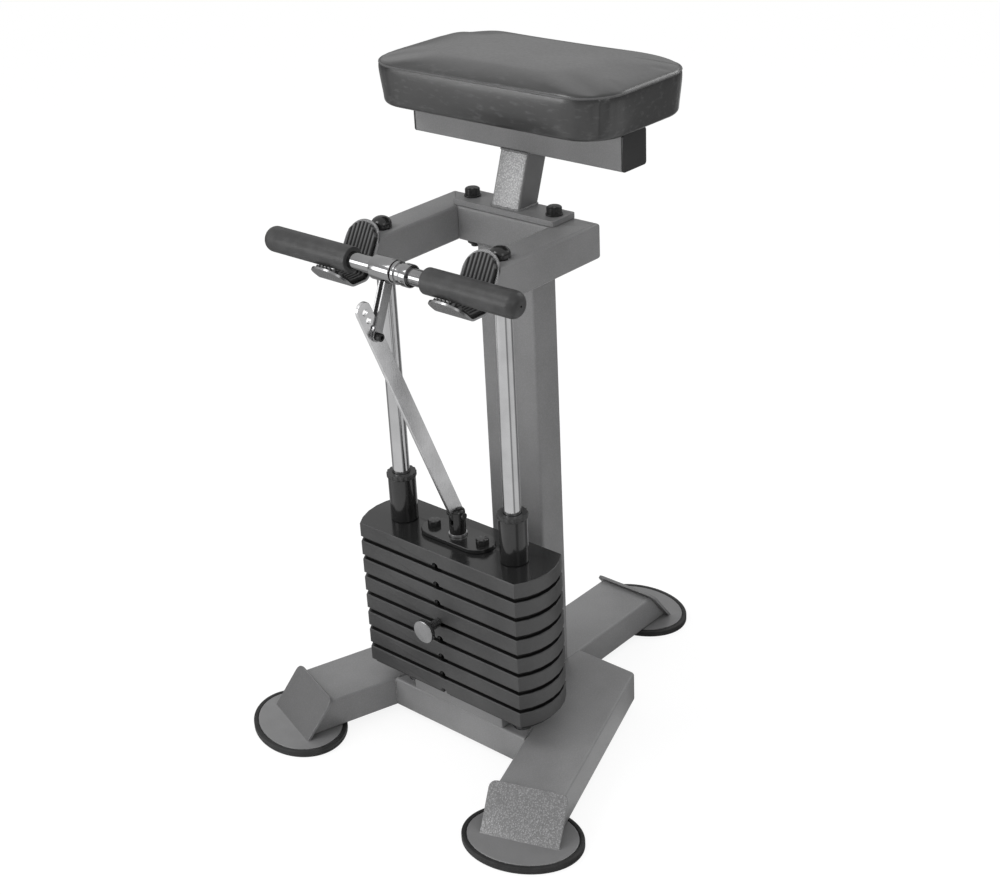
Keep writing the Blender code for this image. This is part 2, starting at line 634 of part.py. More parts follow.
def build_pad_support(machine, paint, plastic, bolt_bores, pad_bores):
    middle_y = YOKE_REAR - YOKE_TUBE / 2
    plate = prism(rounded_rectangle(PLATE_LENGTH, PLATE_DEPTH, PLATE_CORNER, 2), 0, PLATE_THICKNESS)
    mount = place_object("pad_mount_plate", plate, paint, machine, (0, middle_y, PLACE["plate_low"]))
    cut(mount, bolt_bores)

    slanted = prism(rounded_rectangle(SLANT_WIDTH, SLANT_DEPTH, TUBE_CORNER), -BEAM_RISE, 2 * BEAM_RISE)
    slanted = moved(slanted, axis="X", angle=-SLANT_ANGLE)
    slanted = trimmed(slanted, (0, 0, CLEAR), (0, 0, -1))
    slanted = trimmed(slanted, (0, 0, BEAM_RISE - CLEAR), (0, 0, 1))
    foot_y = SLANT_FRONT + SLANT_DEPTH / 2 / math.cos(SLANT_ANGLE)
    inside = rounded_rectangle(SLANT_WIDTH - 2 * TUBE_WALL, SLANT_DEPTH - 2 * TUBE_WALL, inner_corner())
    inside = moved(prism(inside, -BEAM_RISE, 3 * BEAM_RISE), axis="X", angle=-SLANT_ANGLE)
    location = (0, foot_y, PLACE["plate_top"])
    slanted = place_object("slanted_post", slanted, paint, machine, location)
    cut(slanted, place_guide("slant_inside_guide", inside, machine, location))

    beam_y = BEAM_FRONT + BEAM_TUBE / 2
    beam_z = PLACE["beam_low"] + BEAM_TUBE / 2
    inner_side = BEAM_TUBE - 2 * TUBE_WALL
    outer = rounded_rectangle(BEAM_TUBE, BEAM_TUBE, TUBE_CORNER)
    inner = rounded_rectangle(inner_side, inner_side, inner_corner())
    half = BEAM_LENGTH / 2 - CAP_LIP - CLEAR
    rings = [at_height(inner, -half), at_height(outer, -half), at_height(outer, half), at_height(inner, half)]
    beam = moved(loft(rings, hollow=True), axis="Y", angle=math.pi / 2)
    cut(place_object("pad_beam", beam, paint, machine, (0, beam_y, beam_z)), pad_bores)

    spigot_side = inner_side - 2 * CLEAR
    spigot = rounded_rectangle(spigot_side, spigot_side, inner_corner())
    hollow_side = spigot_side - 2 * CAP_SPIGOT_WALL
    hollow = rounded_rectangle(hollow_side, hollow_side, inner_corner())
    face = CAP_LIP
    for name, side in (("left", -1), ("right", 1)):
        rings = [
            at_height(hollow, 0), at_height(hollow, -CAP_SPIGOT), at_height(spigot, -CAP_SPIGOT),
            at_height(spigot, 0), at_height(outer, 0), at_height(outer, face),
        ]
        cap = moved(loft(rings), axis="Y", angle=side * math.pi / 2)
        location = (side * (BEAM_LENGTH / 2 - CAP_LIP), beam_y, beam_z)
        place_object("pad_beam_cap_" + name, cap, plastic, machine, location)


def pad_ring(inset, z, steps=7):
    """One level of the cushion, drawn in from its widest outline."""
    corner = min(max(PAD_CORNER - inset, PAD_CORNER / 3), PAD_DEPTH / 2 - inset - CLEAR)
    return at_height(rounded_rectangle(PAD_LENGTH - 2 * inset, PAD_DEPTH - 2 * inset, corner, steps), z)


def build_pad(machine, board_paint, vinyl):
    """A board with its bolts in the cushion's underside, and the crowned cushion with drawn-in sides."""
    board_inset = PAD_TUCK + PAD_BOTTOM_WALL
    board_top = BOARD_THICKNESS
    location = (0, PAD_MIDDLE, PLACE["pad_low"])
    board = loft([pad_ring(board_inset, 0), pad_ring(board_inset, board_top)])
    join(place_object("pad_board", board, board_paint, machine, location), *pad_bolt_guides(machine))

    recess = board_inset - BOARD_FIT
    rings = [pad_ring(recess, board_top + BOARD_FIT), pad_ring(recess, 0)]
    # Side wall: tucked under at the bottom, fullest at two thirds, drawn in again under the seam.
    for share in (0.0, 0.12, 0.35, 0.65, 0.9, 1.0):
        bulge = math.sin(math.pi * min(share * 0.75, 1.0)) ** 0.8
        rings.append(pad_ring(PAD_TUCK * (1 - bulge), PAD_WALL * share))
    # Crown: rises steeply from the seam and flattens towards the middle.
    reach = PAD_DEPTH / 2
    for share in (0.06, 0.18, 0.38, 0.62, 0.85):
        rise = PAD_CROWN * math.sin(share * math.pi / 2) ** 0.7
        rings.append(pad_ring(reach * share + PAD_TUCK * 0.3, PAD_WALL + rise))
    place_object("forearm_pad", loft(rings), vinyl, machine, location, smooth=60)


# Guides and stack

def build_guides(machine, chrome, plastic):
    low = PLACE["base_top"] - ROD_SOCKET + CLEAR
    high = PLACE["yoke_top"] - CLEAR
    radius = ROD_DIAMETER / 2
    edge = STEEL_EDGE
    tap = CAP_STUD_DIAMETER / 2 + CLEAR
    height = high - low
    rod = [
        (0, 0), (radius - edge, 0), (radius, edge), (radius, height - edge), (radius - edge, height),
        (tap, height), (tap, height - ROD_TAP_DEPTH), (0, height - ROD_TAP_DEPTH),
    ]
    cap_radius = ROD_CAP_DIAMETER / 2
    stud = CAP_STUD_DIAMETER / 2
    rim = ROD_CAP_HEIGHT * 0.35
    cap = [(0, -ROD_TAP_DEPTH + 4 * CLEAR), (stud, -ROD_TAP_DEPTH + 4 * CLEAR), (stud, 0), (cap_radius, 0)]
    for step in range(4):
        angle = math.radians(step * 25)
        cap.append((cap_radius * math.cos(angle), rim + (ROD_CAP_HEIGHT - rim) * math.sin(angle)))
    cap.append((0, ROD_CAP_HEIGHT))
    for name, side in (("left", -1), ("right", 1)):
        x = side * ROD_SPACING / 2
        place_object("guide_rod_" + name, turned(rod), chrome, machine, (x, 0, low))
        place_object("rod_cap_" + name, turned(cap), plastic, machine, (x, 0, PLACE["yoke_top"] + CLEAR))


def plate_solid(height):
    """A weight plate with a groove round its lower edge."""
    top = height - CLEAR
    rings = [
        at_height(stack_outline(GROOVE_DEPTH), 0),
        at_height(stack_outline(GROOVE_DEPTH), GROOVE_HEIGHT),
        at_height(stack_outline(0), GROOVE_HEIGHT),
        at_height(stack_outline(0), top - PLATE_EDGE),
        at_height(stack_outline(PLATE_EDGE), top),
    ]
    return loft(rings)


def notch_heights():
    """The underside of every plate, from the top plate down."""
    return [PLACE["top_plate_low"] - step * PLATE_PITCH for step in range(PLATE_COUNT + 1)]


def build_stack(machine, carriage, iron, cutters):
    rest = prism(rounded_rectangle(REST_LENGTH, REST_DEPTH, REST_CORNER, 2), CLEAR, STACK_LIFT - CLEAR)
    cut(place_object("stack_rest", rest, iron, machine, (0, 0, PLACE["base_top"])), cutters[1])
    for step, low in enumerate(notch_heights()):
        picked = step <= PICKED_PLATES
        name = "top_plate" if step == 0 else "weight_plate_%d" % step
        height = TOP_PLATE_HEIGHT if step == 0 else PLATE_PITCH
        if picked:
            location = (0, 0, low - carriage.location.z)
        else:
            location = (0, 0, low)
        plate = place_object(name, plate_solid(height), iron, carriage if picked else machine, location)
        cut(plate, *cutters)


def build_sleeves(carriage, enamel, nylon):
    inner = ROD_DIAMETER / 2 + BUSH_RUN
    bore = inner + BUSH_WALL + CLEAR
    outer = bore + SLEEVE_WALL
    foot = PLACE["stack_top"] + CLEAR - carriage.location.z
    head_low = foot + SLEEVE_HEIGHT + CLEAR
    head = outer + BUSH_LIP
    count = 2 * BUSH_TEETH
    tooth_ring = []
    for index, (x, y) in enumerate(circle(1, count)):
        radius = head if index % 2 else head - BUSH_TOOTH
        tooth_ring.append((x * radius, y * radius))
    for name, side in (("left", -1), ("right", 1)):
        x = side * ROD_SPACING / 2
        sleeve = ring_solid(bore, outer, 0, SLEEVE_HEIGHT)
        place_object("guide_sleeve_" + name, sleeve, enamel, carriage, (x, 0, foot))
        spigot = bore - CLEAR
        rings = [
            at_height(circle(inner, count), -BUSH_DEPTH),
            at_height(circle(spigot, count), -BUSH_DEPTH),
            at_height(circle(spigot, count), 0),
            at_height(tooth_ring, 0),
            at_height(tooth_ring, BUSH_HEAD),
            at_height(circle(inner, count), BUSH_HEAD),
        ]
        place_object("guide_bush_" + name, loft(rings, hollow=True), nylon, carriage, (x, 0, head_low))


def build_stem(machine, carriage, enamel, steel):
    """The drilled selector stem with its slotted clevis, the flange that holds it, and its pin."""
    base = carriage.location.z
    radius = STEM_DIAMETER / 2
    low = PLACE["stack_low"] - STEM_TIP
    top = PLACE["pivot"].z + CLEVIS_TOP
    collar = PLACE["flange_top"] + CLEAR
    profile = [
        (0, low), (radius - STEM_TIP_TAPER, low), (radius, low + 2 * STEM_TIP_TAPER), (radius, collar),
        (radius + STEM_COLLAR, collar), (radius + STEM_COLLAR, collar + STEM_COLLAR_HEIGHT),
        (radius, collar + STEM_COLLAR_HEIGHT),
    ]
    for step in range(5):
        angle = math.radians(step * 20)
        profile.append((radius * math.cos(angle), top - CLEVIS_DOME + CLEVIS_DOME * math.sin(angle)))
    profile.append((0, top))
    stem = moved(turned(profile), (0, 0, -base))
    thing = place_object("selector_stem", stem, steel, carriage)

    slot_width = LINK_THICKNESS + 2 * CLEVIS_SLOT_FIT
    slot_low = PLACE["pivot"].z - LINK_WIDTH / 2 - 2 * CLEVIS_SLOT_FIT
    slot_high = top + radius
    slot = bar_along_y(slot_width, slot_high - slot_low, 3 * STEM_DIAMETER, slot_width / 5)
    slot = place_guide("clevis_slot_guide", slot, machine, (0, 0, (slot_low + slot_high) / 2))
    hole = turned([(0, -STEM_DIAMETER), (JOINT_BOLT_DIAMETER / 2 + BOLT_FIT, -STEM_DIAMETER),
                   (JOINT_BOLT_DIAMETER / 2 + BOLT_FIT, STEM_DIAMETER), (0, STEM_DIAMETER)], 16)
    hole = place_guide("clevis_hole_guide", hole, machine, PLACE["pivot"], (0, math.pi / 2, 0))
    drills = []
    for height in notch_heights():
        hole_radius = PIN_DIAMETER / 2 + PIN_HOLE_FIT
        drill = turned([(0, -STEM_DIAMETER), (hole_radius, -STEM_DIAMETER),
                        (hole_radius, STEM_DIAMETER), (0, STEM_DIAMETER)], 8)
        drills.append(moved(moved(drill, axis="X", angle=math.pi / 2), (0, 0, height + PIN_RISE)))
    drills = place_guide("stem_drill_guide", merged(*drills), machine)
    cut(thing, slot, hole, drills)

    half = FLANGE_LENGTH / 2 - FLANGE_DEPTH / 2
    outline = arc((half, 0), FLANGE_DEPTH / 2, -90, 90, 8) + arc((-half, 0), FLANGE_DEPTH / 2, 90, 270, 8)
    flange = prism(outline, PLACE["flange_low"] - base, PLACE["flange_top"] - base)
    bolt_bore = FLANGE_BOLT_DIAMETER / 2 + BOLT_FIT
    bolt_x = FLANGE_BOLT_SPACING / 2
    bores = [(0, radius + STEM_FLANGE_FIT), (-bolt_x, bolt_bore), (bolt_x, bolt_bore)]
    tools = []
    for x, bore in bores:
        tool = turned([(0, -FLANGE_BOLT_GRIP), (bore, -FLANGE_BOLT_GRIP), (bore, FLANGE_BOLT_GRIP),
                       (0, FLANGE_BOLT_GRIP)], 20)
        tools.append(moved(tool, (x, 0, PLACE["flange_top"])))
    flange_bores = place_guide("flange_bore_guide", merged(*tools), machine)
    cut(place_object("stem_flange", flange, enamel, carriage), flange_bores)
    across = FLANGE_BOLT_DIAMETER * 1.7
    for name, side in (("left", -1), ("right", 1)):
        grip = FLANGE_BOLT_GRIP - 2 * CLEAR
        bolt = hex_bolt(FLANGE_BOLT_DIAMETER, grip, across, FLANGE_BOLT_HEAD)
        location = (side * FLANGE_BOLT_SPACING / 2, 0, PLACE["flange_top"] + CLEAR - base)
        place_object("flange_bolt_" + name, bolt, steel, carriage, location)
    return flange_bores


def build_selector_pin(slide, steel):
    """Disc head, neck against the stack's front, and a shaft through notch and stem."""
    face = STACK_HALF_DEPTH + CLEAR
    tip = STEM_DIAMETER / 2
    shaft = PIN_DIAMETER / 2
    neck = PIN_NECK_DIAMETER / 2
    head = PIN_HEAD_DIAMETER / 2
    edge = PIN_EDGE
    back = face + PIN_NECK_LENGTH
    front = back + PIN_HEAD_THICKNESS
    profile = [
        (0, -tip), (shaft - edge, -tip), (shaft, -tip + edge), (shaft, face), (neck, face), (neck, back),
        (head - edge, back), (head, back + edge), (head, front - edge), (head - edge, front), (0, front),
    ]
    place_object("selector_pin", turned(profile), steel, slide, rotation=(math.pi / 2, 0, 0))


# Linkage and handlebar

def pin_with_ends(diameter, grip, head, head_height, count=16):
    """A plain pin along Z through a grip, with a flat head and a retaining washer."""
    shaft = diameter / 2
    half = grip / 2 + CLEAR
    rings = [(0, -half - head_height), (head / 2, -half - head_height), (head / 2, -half), (shaft, -half),
             (shaft, half), (head / 2 * 0.8, half), (head / 2 * 0.8, half + head_height), (0, half + head_height)]
    return turned(rings, count)


def build_link(machine, carriage, link, steel, dark):
    ears = STEM_DIAMETER
    pin = pin_with_ends(JOINT_BOLT_DIAMETER, ears, CLEVIS_PIN_WIDTH, CLEVIS_PIN_HEAD)
    offset = link.location
    place_object("clevis_pin", pin, dark, carriage, offset, (0, math.pi / 2, 0))

    length = PLACE["link_length"]
    spread = [0, length] + [length + LINK_HOLE_PITCH * (n + 1) for n in range(LINK_SPARE_HOLES)]
    tip = spread[-1] + LINK_END - LINK_WIDTH / 2
    radius = LINK_WIDTH / 2
    outline = arc((0, 0), radius, 180, 360, 10) + arc((0, tip), radius, 0, 180, 10)
    half = LINK_THICKNESS / 2
    edge = LINK_THICKNESS * 0.12
    small = arc((0, 0), radius - edge, 180, 360, 10) + arc((0, tip), radius - edge, 0, 180, 10)
    rings = [at_height(small, -half), at_height(outline, -half + edge),
             at_height(outline, half - edge), at_height(small, half)]
    # The outline lies in XY; stand it up so that its length is Z and its thickness is X.
    bar = moved(loft(rings), axis="X", angle=math.pi / 2)
    bar = moved(bar, axis="Z", angle=math.pi / 2)
    thing = place_object("link_bar", bar, steel, link, rotation=(PLACE["link_lean"], 0, 0))
    drills = []
    hole = JOINT_BOLT_DIAMETER / 2 + BOLT_FIT
    for height in spread:
        drill = turned([(0, -LINK_THICKNESS), (hole, -LINK_THICKNESS), (hole, LINK_THICKNESS),
                        (0, LINK_THICKNESS)], 16)
        drills.append(moved(moved(drill, axis="Y", angle=math.pi / 2), (0, 0, height)))
    guide = place_guide("link_hole_guide", merged(*drills), machine, PLACE["pivot"], (PLACE["link_lean"], 0, 0))
    cut(thing, guide)


def build_fork(machine, fork, bar_axis, steel, dark):
    """Hub sleeve, the two strips welded under it with the link between them, and the bolt with its nut."""
    inside = LINK_THICKNESS + 2 * CLEAR
    hub_bore = BAR_DIAMETER / 2 + BAR_RUN
    hub_outer = hub_bore + HUB_WALL
    edge = STEEL_EDGE
    half = HUB_LENGTH / 2
    rings = [(hub_bore, -half), (hub_outer - edge, -half), (hub_outer, edge - half), (hub_outer, half - edge),
             (hub_outer - edge, half), (hub_bore, half)]
    place_object("hub_sleeve", turned(rings, hollow=True), steel, fork,
                 Vector(bar_axis.location) + Vector((HUB_CENTRE, 0, 0)), (0, math.pi / 2, 0))
    cope = hub_outer + CLEAR
    cope = turned([(0, -HUB_LENGTH), (cope, -HUB_LENGTH), (cope, HUB_LENGTH), (0, HUB_LENGTH)], 24)
    cope = place_guide("hub_cope_guide", cope, machine, PLACE["bar"], (0, math.pi / 2, 0))
    hole = JOINT_BOLT_DIAMETER / 2 + BOLT_FIT
    drill = turned([(0, -HUB_LENGTH), (hole, -HUB_LENGTH), (hole, HUB_LENGTH), (0, HUB_LENGTH)], 16)
    drill = place_guide("fork_hole_guide", drill, machine, PLACE["fork_bolt"], (0, math.pi / 2, 0))
    radius = FORK_WIDTH / 2
    for name, side in (("left", -1), ("right", 1)):
        outline = arc((0, 0), radius, 180, 360, 8) + [(radius, FORK_LENGTH), (-radius, FORK_LENGTH)]
        strip = prism(outline, -FORK_STRIP / 2, FORK_STRIP / 2)
        strip = moved(moved(strip, axis="X", angle=math.pi / 2), axis="Z", angle=math.pi / 2)
        x = side * (inside + FORK_STRIP) / 2
        thing = place_object("fork_strip_" + name, strip, steel, fork, (x, 0, 0), (-FORK_LEAN, 0, 0))
        cut(thing, cope, drill)

    grip = inside + 2 * FORK_STRIP + 2 * CLEAR
    head = JOINT_BOLT_DIAMETER * 0.9
    nut = JOINT_BOLT_DIAMETER * 0.65
    bolt = hex_bolt(JOINT_BOLT_DIAMETER, grip, FORK_BOLT_HEAD, head, nut=nut, past=BOLT_TAIL,
                    socket=FORK_BOLT_SOCKET)
    place_object("fork_bolt", bolt, dark, fork, (grip / 2, 0, 0), (0, math.pi / 2, 0))


def build_handlebar(bar_axis, chrome, steel, grip_rubber):
    """The bar with its locating collar, and a closed rubber grip on each end."""
    radius = BAR_DIAMETER / 2
    bore = radius - BAR_WALL
    half = BAR_LENGTH / 2
    tube = ring_solid(bore, radius, -half, half)
    place_object("handlebar", tube, chrome, bar_axis, rotation=(0, math.pi / 2, 0))
    inner = radius + CLEAR
    wide = inner + COLLAR_WALL
    neck = inner + COLLAR_NECK_WALL
    edge = BAR_EDGE
    a = COLLAR_START
    b = a + COLLAR_RING
    c = b + COLLAR_NECK
    d = c + COLLAR_END_RING
    profile = [(inner, a), (wide - edge, a), (wide, a + edge), (wide, b - edge), (wide - edge, b), (neck, b),
               (neck, c), (wide - edge, c), (wide, c + edge), (wide, d - edge), (wide - edge, d), (inner, d)]
    place_object("hub_collar", turned(profile, hollow=True), steel, bar_axis, rotation=(0, math.pi / 2, 0))

    outer = GRIP_DIAMETER / 2
    end = half + GRIP_TIP
    rest = half + CLEAR
    profile = [(inner, GRIP_START), (outer - edge, GRIP_START), (outer, GRIP_START + edge)]
    for step in range(5):
        angle = math.radians(step * 20)
        reach = outer - GRIP_ROUND + GRIP_ROUND * math.cos(angle)
        profile.append((reach, end - GRIP_ROUND + GRIP_ROUND * math.sin(angle)))
    profile += [(GRIP_VENT, end), (GRIP_VENT, rest), (inner, rest)]
    for name, side in (("left", -1), ("right", 1)):
        grip = turned(profile, hollow=True)
        place_object("grip_" + name, grip, grip_rubber, bar_axis, rotation=(0, side * math.pi / 2, 0))


# Cradles

def cradle_path():
    """The bend's centre and both surface directions, seen from the side, relative to the bar's axis.

    The lip's surface passes under the parked grip and the back's surface stands behind it."""
    grip = GRIP_DIAMETER / 2
    liner = LINER_BASE + LINER_RIB
    lip_out = Vector((0, -math.cos(CRADLE_LIP_RISE), math.sin(CRADLE_LIP_RISE)))
    back_out = Vector((0, math.sin(CRADLE_LEAN), math.cos(CRADLE_LEAN)))
    lip_face = Vector((0, math.sin(CRADLE_LIP_RISE), math.cos(CRADLE_LIP_RISE)))
    back_face = Vector((0, -math.cos(CRADLE_LEAN), math.sin(CRADLE_LEAN)))
    # The bend's centre lies one bend radius inside both surfaces.
    lip_level = CRADLE_BEND - (grip + liner + CLEAR)
    back_level = CRADLE_BEND - (grip + liner + CRADLE_STANDOFF)
    across = lip_face.y * back_face.z - lip_face.z * back_face.y
    centre_y = (lip_level * back_face.z - back_level * lip_face.z) / across
    centre_z = (lip_face.y * back_level - back_face.y * lip_level) / across
    return Vector((0, centre_y, centre_z)), lip_out, back_out, lip_face, back_face


def cradle_back():
    """The plane just behind the cradle's back plate, where the arm ends: a point and outward normal."""
    centre, _, _, _, back_face = cradle_path()
    behind = CRADLE_BEND + CRADLE_SHEET + CLEAR
    return PLACE["bar"] + centre - back_face * behind, back_face


def bent_sheet(columns, low, heights, inset, lip_corner, half_width):
    """A sheet bent round the cradle's path: flat lip, bend, leaning back with a round top.

    Columns run along the path at fixed x. Each ends where the outline ends at that x, so the top is
    a half circle and the lip's corners are rounded. low and heights are measured off the surface."""
    centre, lip_out, back_out, lip_face, back_face = cradle_path()
    bend_steps = 3
    step_off = LINER_BASE / 6
    lip_end = CRADLE_LIP_LENGTH - inset
    back_end = CRADLE_BACK_LENGTH - inset
    turn_total = math.acos(max(-1, min(1, lip_face.dot(back_face))))
    bm = bmesh.new()
    grids = []
    for offset_list in (heights, [low] * len(columns)):
        grid = []
        for x, height in zip(columns, offset_list):
            line = []
            side = abs(x) / half_width
            corner_x = max(abs(x) - (half_width - lip_corner), 0)
            shortening = lip_corner - math.sqrt(max(lip_corner ** 2 - corner_x ** 2, 0))
            round_top = half_width * math.sqrt(max(1 - side ** 2, 0))
            lip_ends = [lip_end - shortening, lip_end - lip_corner - step_off]
            back_ends = [back_end - half_width - step_off, back_end - half_width + round_top]
            for length in lip_ends:
                line.append(centre - lip_face * (CRADLE_BEND - height) + lip_out * (length - CRADLE_BEND))
            for step in range(bend_steps + 1):
                turn = Matrix.Rotation(turn_total * step / bend_steps, 3, "X")
                line.append(centre - (turn @ lip_face) * (CRADLE_BEND - height))
            for length in back_ends:
                line.append(centre - back_face * (CRADLE_BEND - height) + back_out * (length - CRADLE_BEND))
            grid.append([bm.verts.new((x, point.y, point.z)) for point in line])
        grids.append(grid)
    top, bottom = grids
    last_column = len(columns) - 1
    last_row = len(top[0]) - 1
    for i in range(last_column):
        for j in range(last_row):
            bm.faces.new((top[i][j], top[i + 1][j], top[i + 1][j + 1], top[i][j + 1]))
            bm.faces.new((bottom[i][j], bottom[i][j + 1], bottom[i + 1][j + 1], bottom[i + 1][j]))
    for j in range(last_row):
        bm.faces.new((top[0][j], top[0][j + 1], bottom[0][j + 1], bottom[0][j]))
        bm.faces.new((top[last_column][j + 1], top[last_column][j], bottom[last_column][j],
                      bottom[last_column][j + 1]))
    for i in range(last_column):
        bm.faces.new((top[i + 1][0], top[i][0], bottom[i][0], bottom[i + 1][0]))
        bm.faces.new((top[i][last_row], top[i + 1][last_row], bottom[i + 1][last_row], bottom[i][last_row]))
    bmesh.ops.recalc_face_normals(bm, faces=bm.faces[:])
    return bm


def build_cradles(machine, sheet_steel, liner_rubber):
    half = CRADLE_WIDTH / 2
    sheet_columns = [half * math.sin(math.radians(-90 + 15 * step)) for step in range(13)]
    liner_half = LINER_WIDTH / 2
    pitch = LINER_WIDTH / LINER_RIBS
    liner_columns = [-liner_half]
    liner_heights = [LINER_BASE]
    for rib in range(LINER_RIBS):
        start = -liner_half + rib * pitch
        for share, height in ((0.22, 0), (0.36, LINER_RIB), (0.64, LINER_RIB), (0.78, 0)):
            liner_columns.append(start + share * pitch)
            liner_heights.append(LINER_BASE + height)
    liner_columns.append(liner_half)
    liner_heights.append(LINER_BASE)
    for name, side in (("left", -1), ("right", 1)):
        location = PLACE["bar"] + Vector((side * ROD_SPACING / 2, 0, 0))
        sheet = bent_sheet(sheet_columns, -CRADLE_SHEET, [0] * len(sheet_columns), 0, CRADLE_LIP_CORNER, half)
        place_object("cradle_" + name, sheet, sheet_steel, machine, location)
        liner = bent_sheet(liner_columns, CLEAR, liner_heights, LINER_INSET,
                           CRADLE_LIP_CORNER - LINER_INSET, liner_half)
        place_object("cradle_liner_" + name, liner, liner_rubber, machine, location)


# Fasteners of the pad support

def build_mount_bolts(machine, dark):
    across = MOUNT_BOLT_DIAMETER * 1.55
    nut = MOUNT_BOLT_DIAMETER * 0.8
    washer = MOUNT_BOLT_DIAMETER * 2
    grip = PLACE["plate_top"] - PLACE["yoke_low"] + 2 * CLEAR
    y = YOKE_REAR - YOKE_TUBE / 2
    for name, side in (("left", -1), ("right", 1)):
        bolt = hex_bolt(MOUNT_BOLT_DIAMETER, grip, across, MOUNT_BOLT_DIAMETER * 0.8, washer,
                        MOUNT_BOLT_DIAMETER * 0.2, nut, MOUNT_BOLT_DIAMETER * 0.4)
        x = side * MOUNT_BOLT_SPACING / 2
        place_object("mount_bolt_" + name, bolt, dark, machine, (x, y, PLACE["plate_top"] + CLEAR))


def pad_bolt_guides(machine):
    """The two bolts that hang from the board, through the beam, with their heads under it."""
    head = PAD_BOLT_DIAMETER * 0.65
    grip = BEAM_TUBE + 2 * CLEAR + WELD_DEPTH
    y = BEAM_FRONT + BEAM_TUBE / 2
    guides = []
    for name, side in (("left", -1), ("right", 1)):
        bolt = moved(hex_bolt(PAD_BOLT_DIAMETER, grip, PAD_BOLT_DIAMETER * 1.6, head), axis="X", angle=math.pi)
        location = (side * PAD_BOLT_SPACING / 2, y, PLACE["beam_low"] - CLEAR)
        guides.append(place_guide("pad_bolt_guide_" + name, bolt, machine, location))
    return guides


# Cutters that several pieces share

def paired_bores(name, machine, spacing, radius, y, low, high, count=16):
    tools = []
    for side in (-1, 1):
        tool = turned([(0, low), (radius, low), (radius, high), (0, high)], count)
        tools.append(moved(tool, (side * spacing / 2, y, 0)))
    return place_guide(name, merged(*tools), machine)


def stem_bore(machine):
    low = PLACE["stack_low"] - STEM_TIP
    high = PLACE["stack_top"] + STEM_DIAMETER
    radius = STEM_DIAMETER / 2 + STEM_FIT
    return place_guide("stem_bore_guide", turned([(0, low), (radius, low), (radius, high), (0, high)], 16), machine)


def pin_notches(machine):
    """An upside-down U from each plate's front, in its underside, back to the stem's bore."""
    half = NOTCH_WIDTH / 2
    spring = NOTCH_HEIGHT - half
    below = PLATE_EDGE / 2
    outline = [(-half, -below), (half, -below)] + arc((0, spring), half, 0, 180, 6)
    tools = []
    for low in notch_heights():
        tool = moved(prism(outline, 0, STACK_HALF_DEPTH + STEM_DIAMETER), axis="X", angle=math.pi / 2)
        tools.append(moved(tool, (0, 0, low)))
    return place_guide("pin_notch_guide", merged(*tools), machine)


def build():
    for thing in list(bpy.data.objects):
        bpy.data.objects.remove(thing, do_unlink=True)

    paint = make_material("grey_paint", (0.155, 0.158, 0.162), 0.42, 0.3)
    enamel = make_material("black_enamel", (0.018, 0.018, 0.020), 0.18, 0.0)
    iron = make_material("stack_black", (0.040, 0.040, 0.043), 0.45, 0.2)
    chrome = make_material("chrome", (0.80, 0.80, 0.82), 0.12, 1.0)
    steel = make_material("bright_steel", (0.62, 0.62, 0.63), 0.28, 1.0)
    dark = make_material("black_fasteners", (0.022, 0.022, 0.024), 0.35, 0.4)
    plastic = make_material("black_plastic", (0.020, 0.020, 0.022), 0.40, 0.0)
    nylon = make_material("black_nylon", (0.030, 0.030, 0.032), 0.45, 0.0)
    rubber = make_material("foot_rubber", (0.020, 0.020, 0.020), 0.75, 0.0)
    grip_rubber = make_material("grip_rubber", (0.045, 0.045, 0.047), 0.62, 0.0)
    vinyl = make_material("pad_vinyl", (0.055, 0.056, 0.060), 0.38, 0.0)
    board = make_material("pad_board", (0.060, 0.050, 0.040), 0.80, 0.0)
    sheet = make_material("cradle_steel", (0.45, 0.45, 0.46), 0.40, 1.0)

    machine = place_empty("machine", None, (0, PLACE["rail_y"], 0))
    carriage = place_empty("carriage_slide", machine, (0, 0, PLACE["stack_top"]))
    link = place_empty("link_pivot", carriage, PLACE["pivot"] - carriage.location)
    fork = place_empty("fork_pivot", link, PLACE["fork_bolt"] - PLACE["pivot"])
    bar_axis = place_empty("bar_axis", fork, PLACE["bar"] - PLACE["fork_bolt"])
    pin_slide = place_empty("pin_slide", carriage, (0, 0, PLACE["pin_z"] - carriage.location.z))

    rod_low = PLACE["base_top"] - ROD_SOCKET
    rod_bores = paired_bores("rod_bore_guide", machine, ROD_SPACING, ROD_DIAMETER / 2 + ROD_FIT, 0,
                             rod_low, PLACE["yoke_top"] + YOKE_TUBE)
    bolt_bores = paired_bores("mount_bore_guide", machine, MOUNT_BOLT_SPACING, MOUNT_BOLT_DIAMETER / 2 + BOLT_FIT,
                              YOKE_REAR - YOKE_TUBE / 2, PLACE["yoke_low"] - YOKE_TUBE, PLACE["beam_low"], 16)
    pad_bores = paired_bores("pad_bore_guide", machine, PAD_BOLT_SPACING, PAD_BOLT_DIAMETER / 2 + BOLT_FIT,
                             BEAM_FRONT + BEAM_TUBE / 2, PLACE["beam_low"] - TUBE_WALL,
                             PLACE["pad_low"], 12)

    build_base(machine, paint, rubber, rod_bores)
    build_upright(machine, paint)
    build_yoke(machine, paint, rod_bores, bolt_bores)
    build_pad_support(machine, paint, plastic, bolt_bores, pad_bores)
    build_pad(machine, board, vinyl)
    build_mount_bolts(machine, dark)
    build_guides(machine, chrome, plastic)
    build_cradles(machine, sheet, liner_rubber=rubber)
    flange_bores = build_stem(machine, carriage, enamel, steel)
    build_stack(machine, carriage, iron, (rod_bores, stem_bore(machine), pin_notches(machine)))
    cut(bpy.data.objects["top_plate"], flange_bores)
    build_sleeves(carriage, enamel, nylon)
    build_selector_pin(pin_slide, chrome)
    build_link(machine, carriage, link, steel, dark)
    build_fork(machine, fork, bar_axis, chrome, dark)
    build_handlebar(bar_axis, chrome, chrome, grip_rubber)


build()
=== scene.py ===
import json
import math

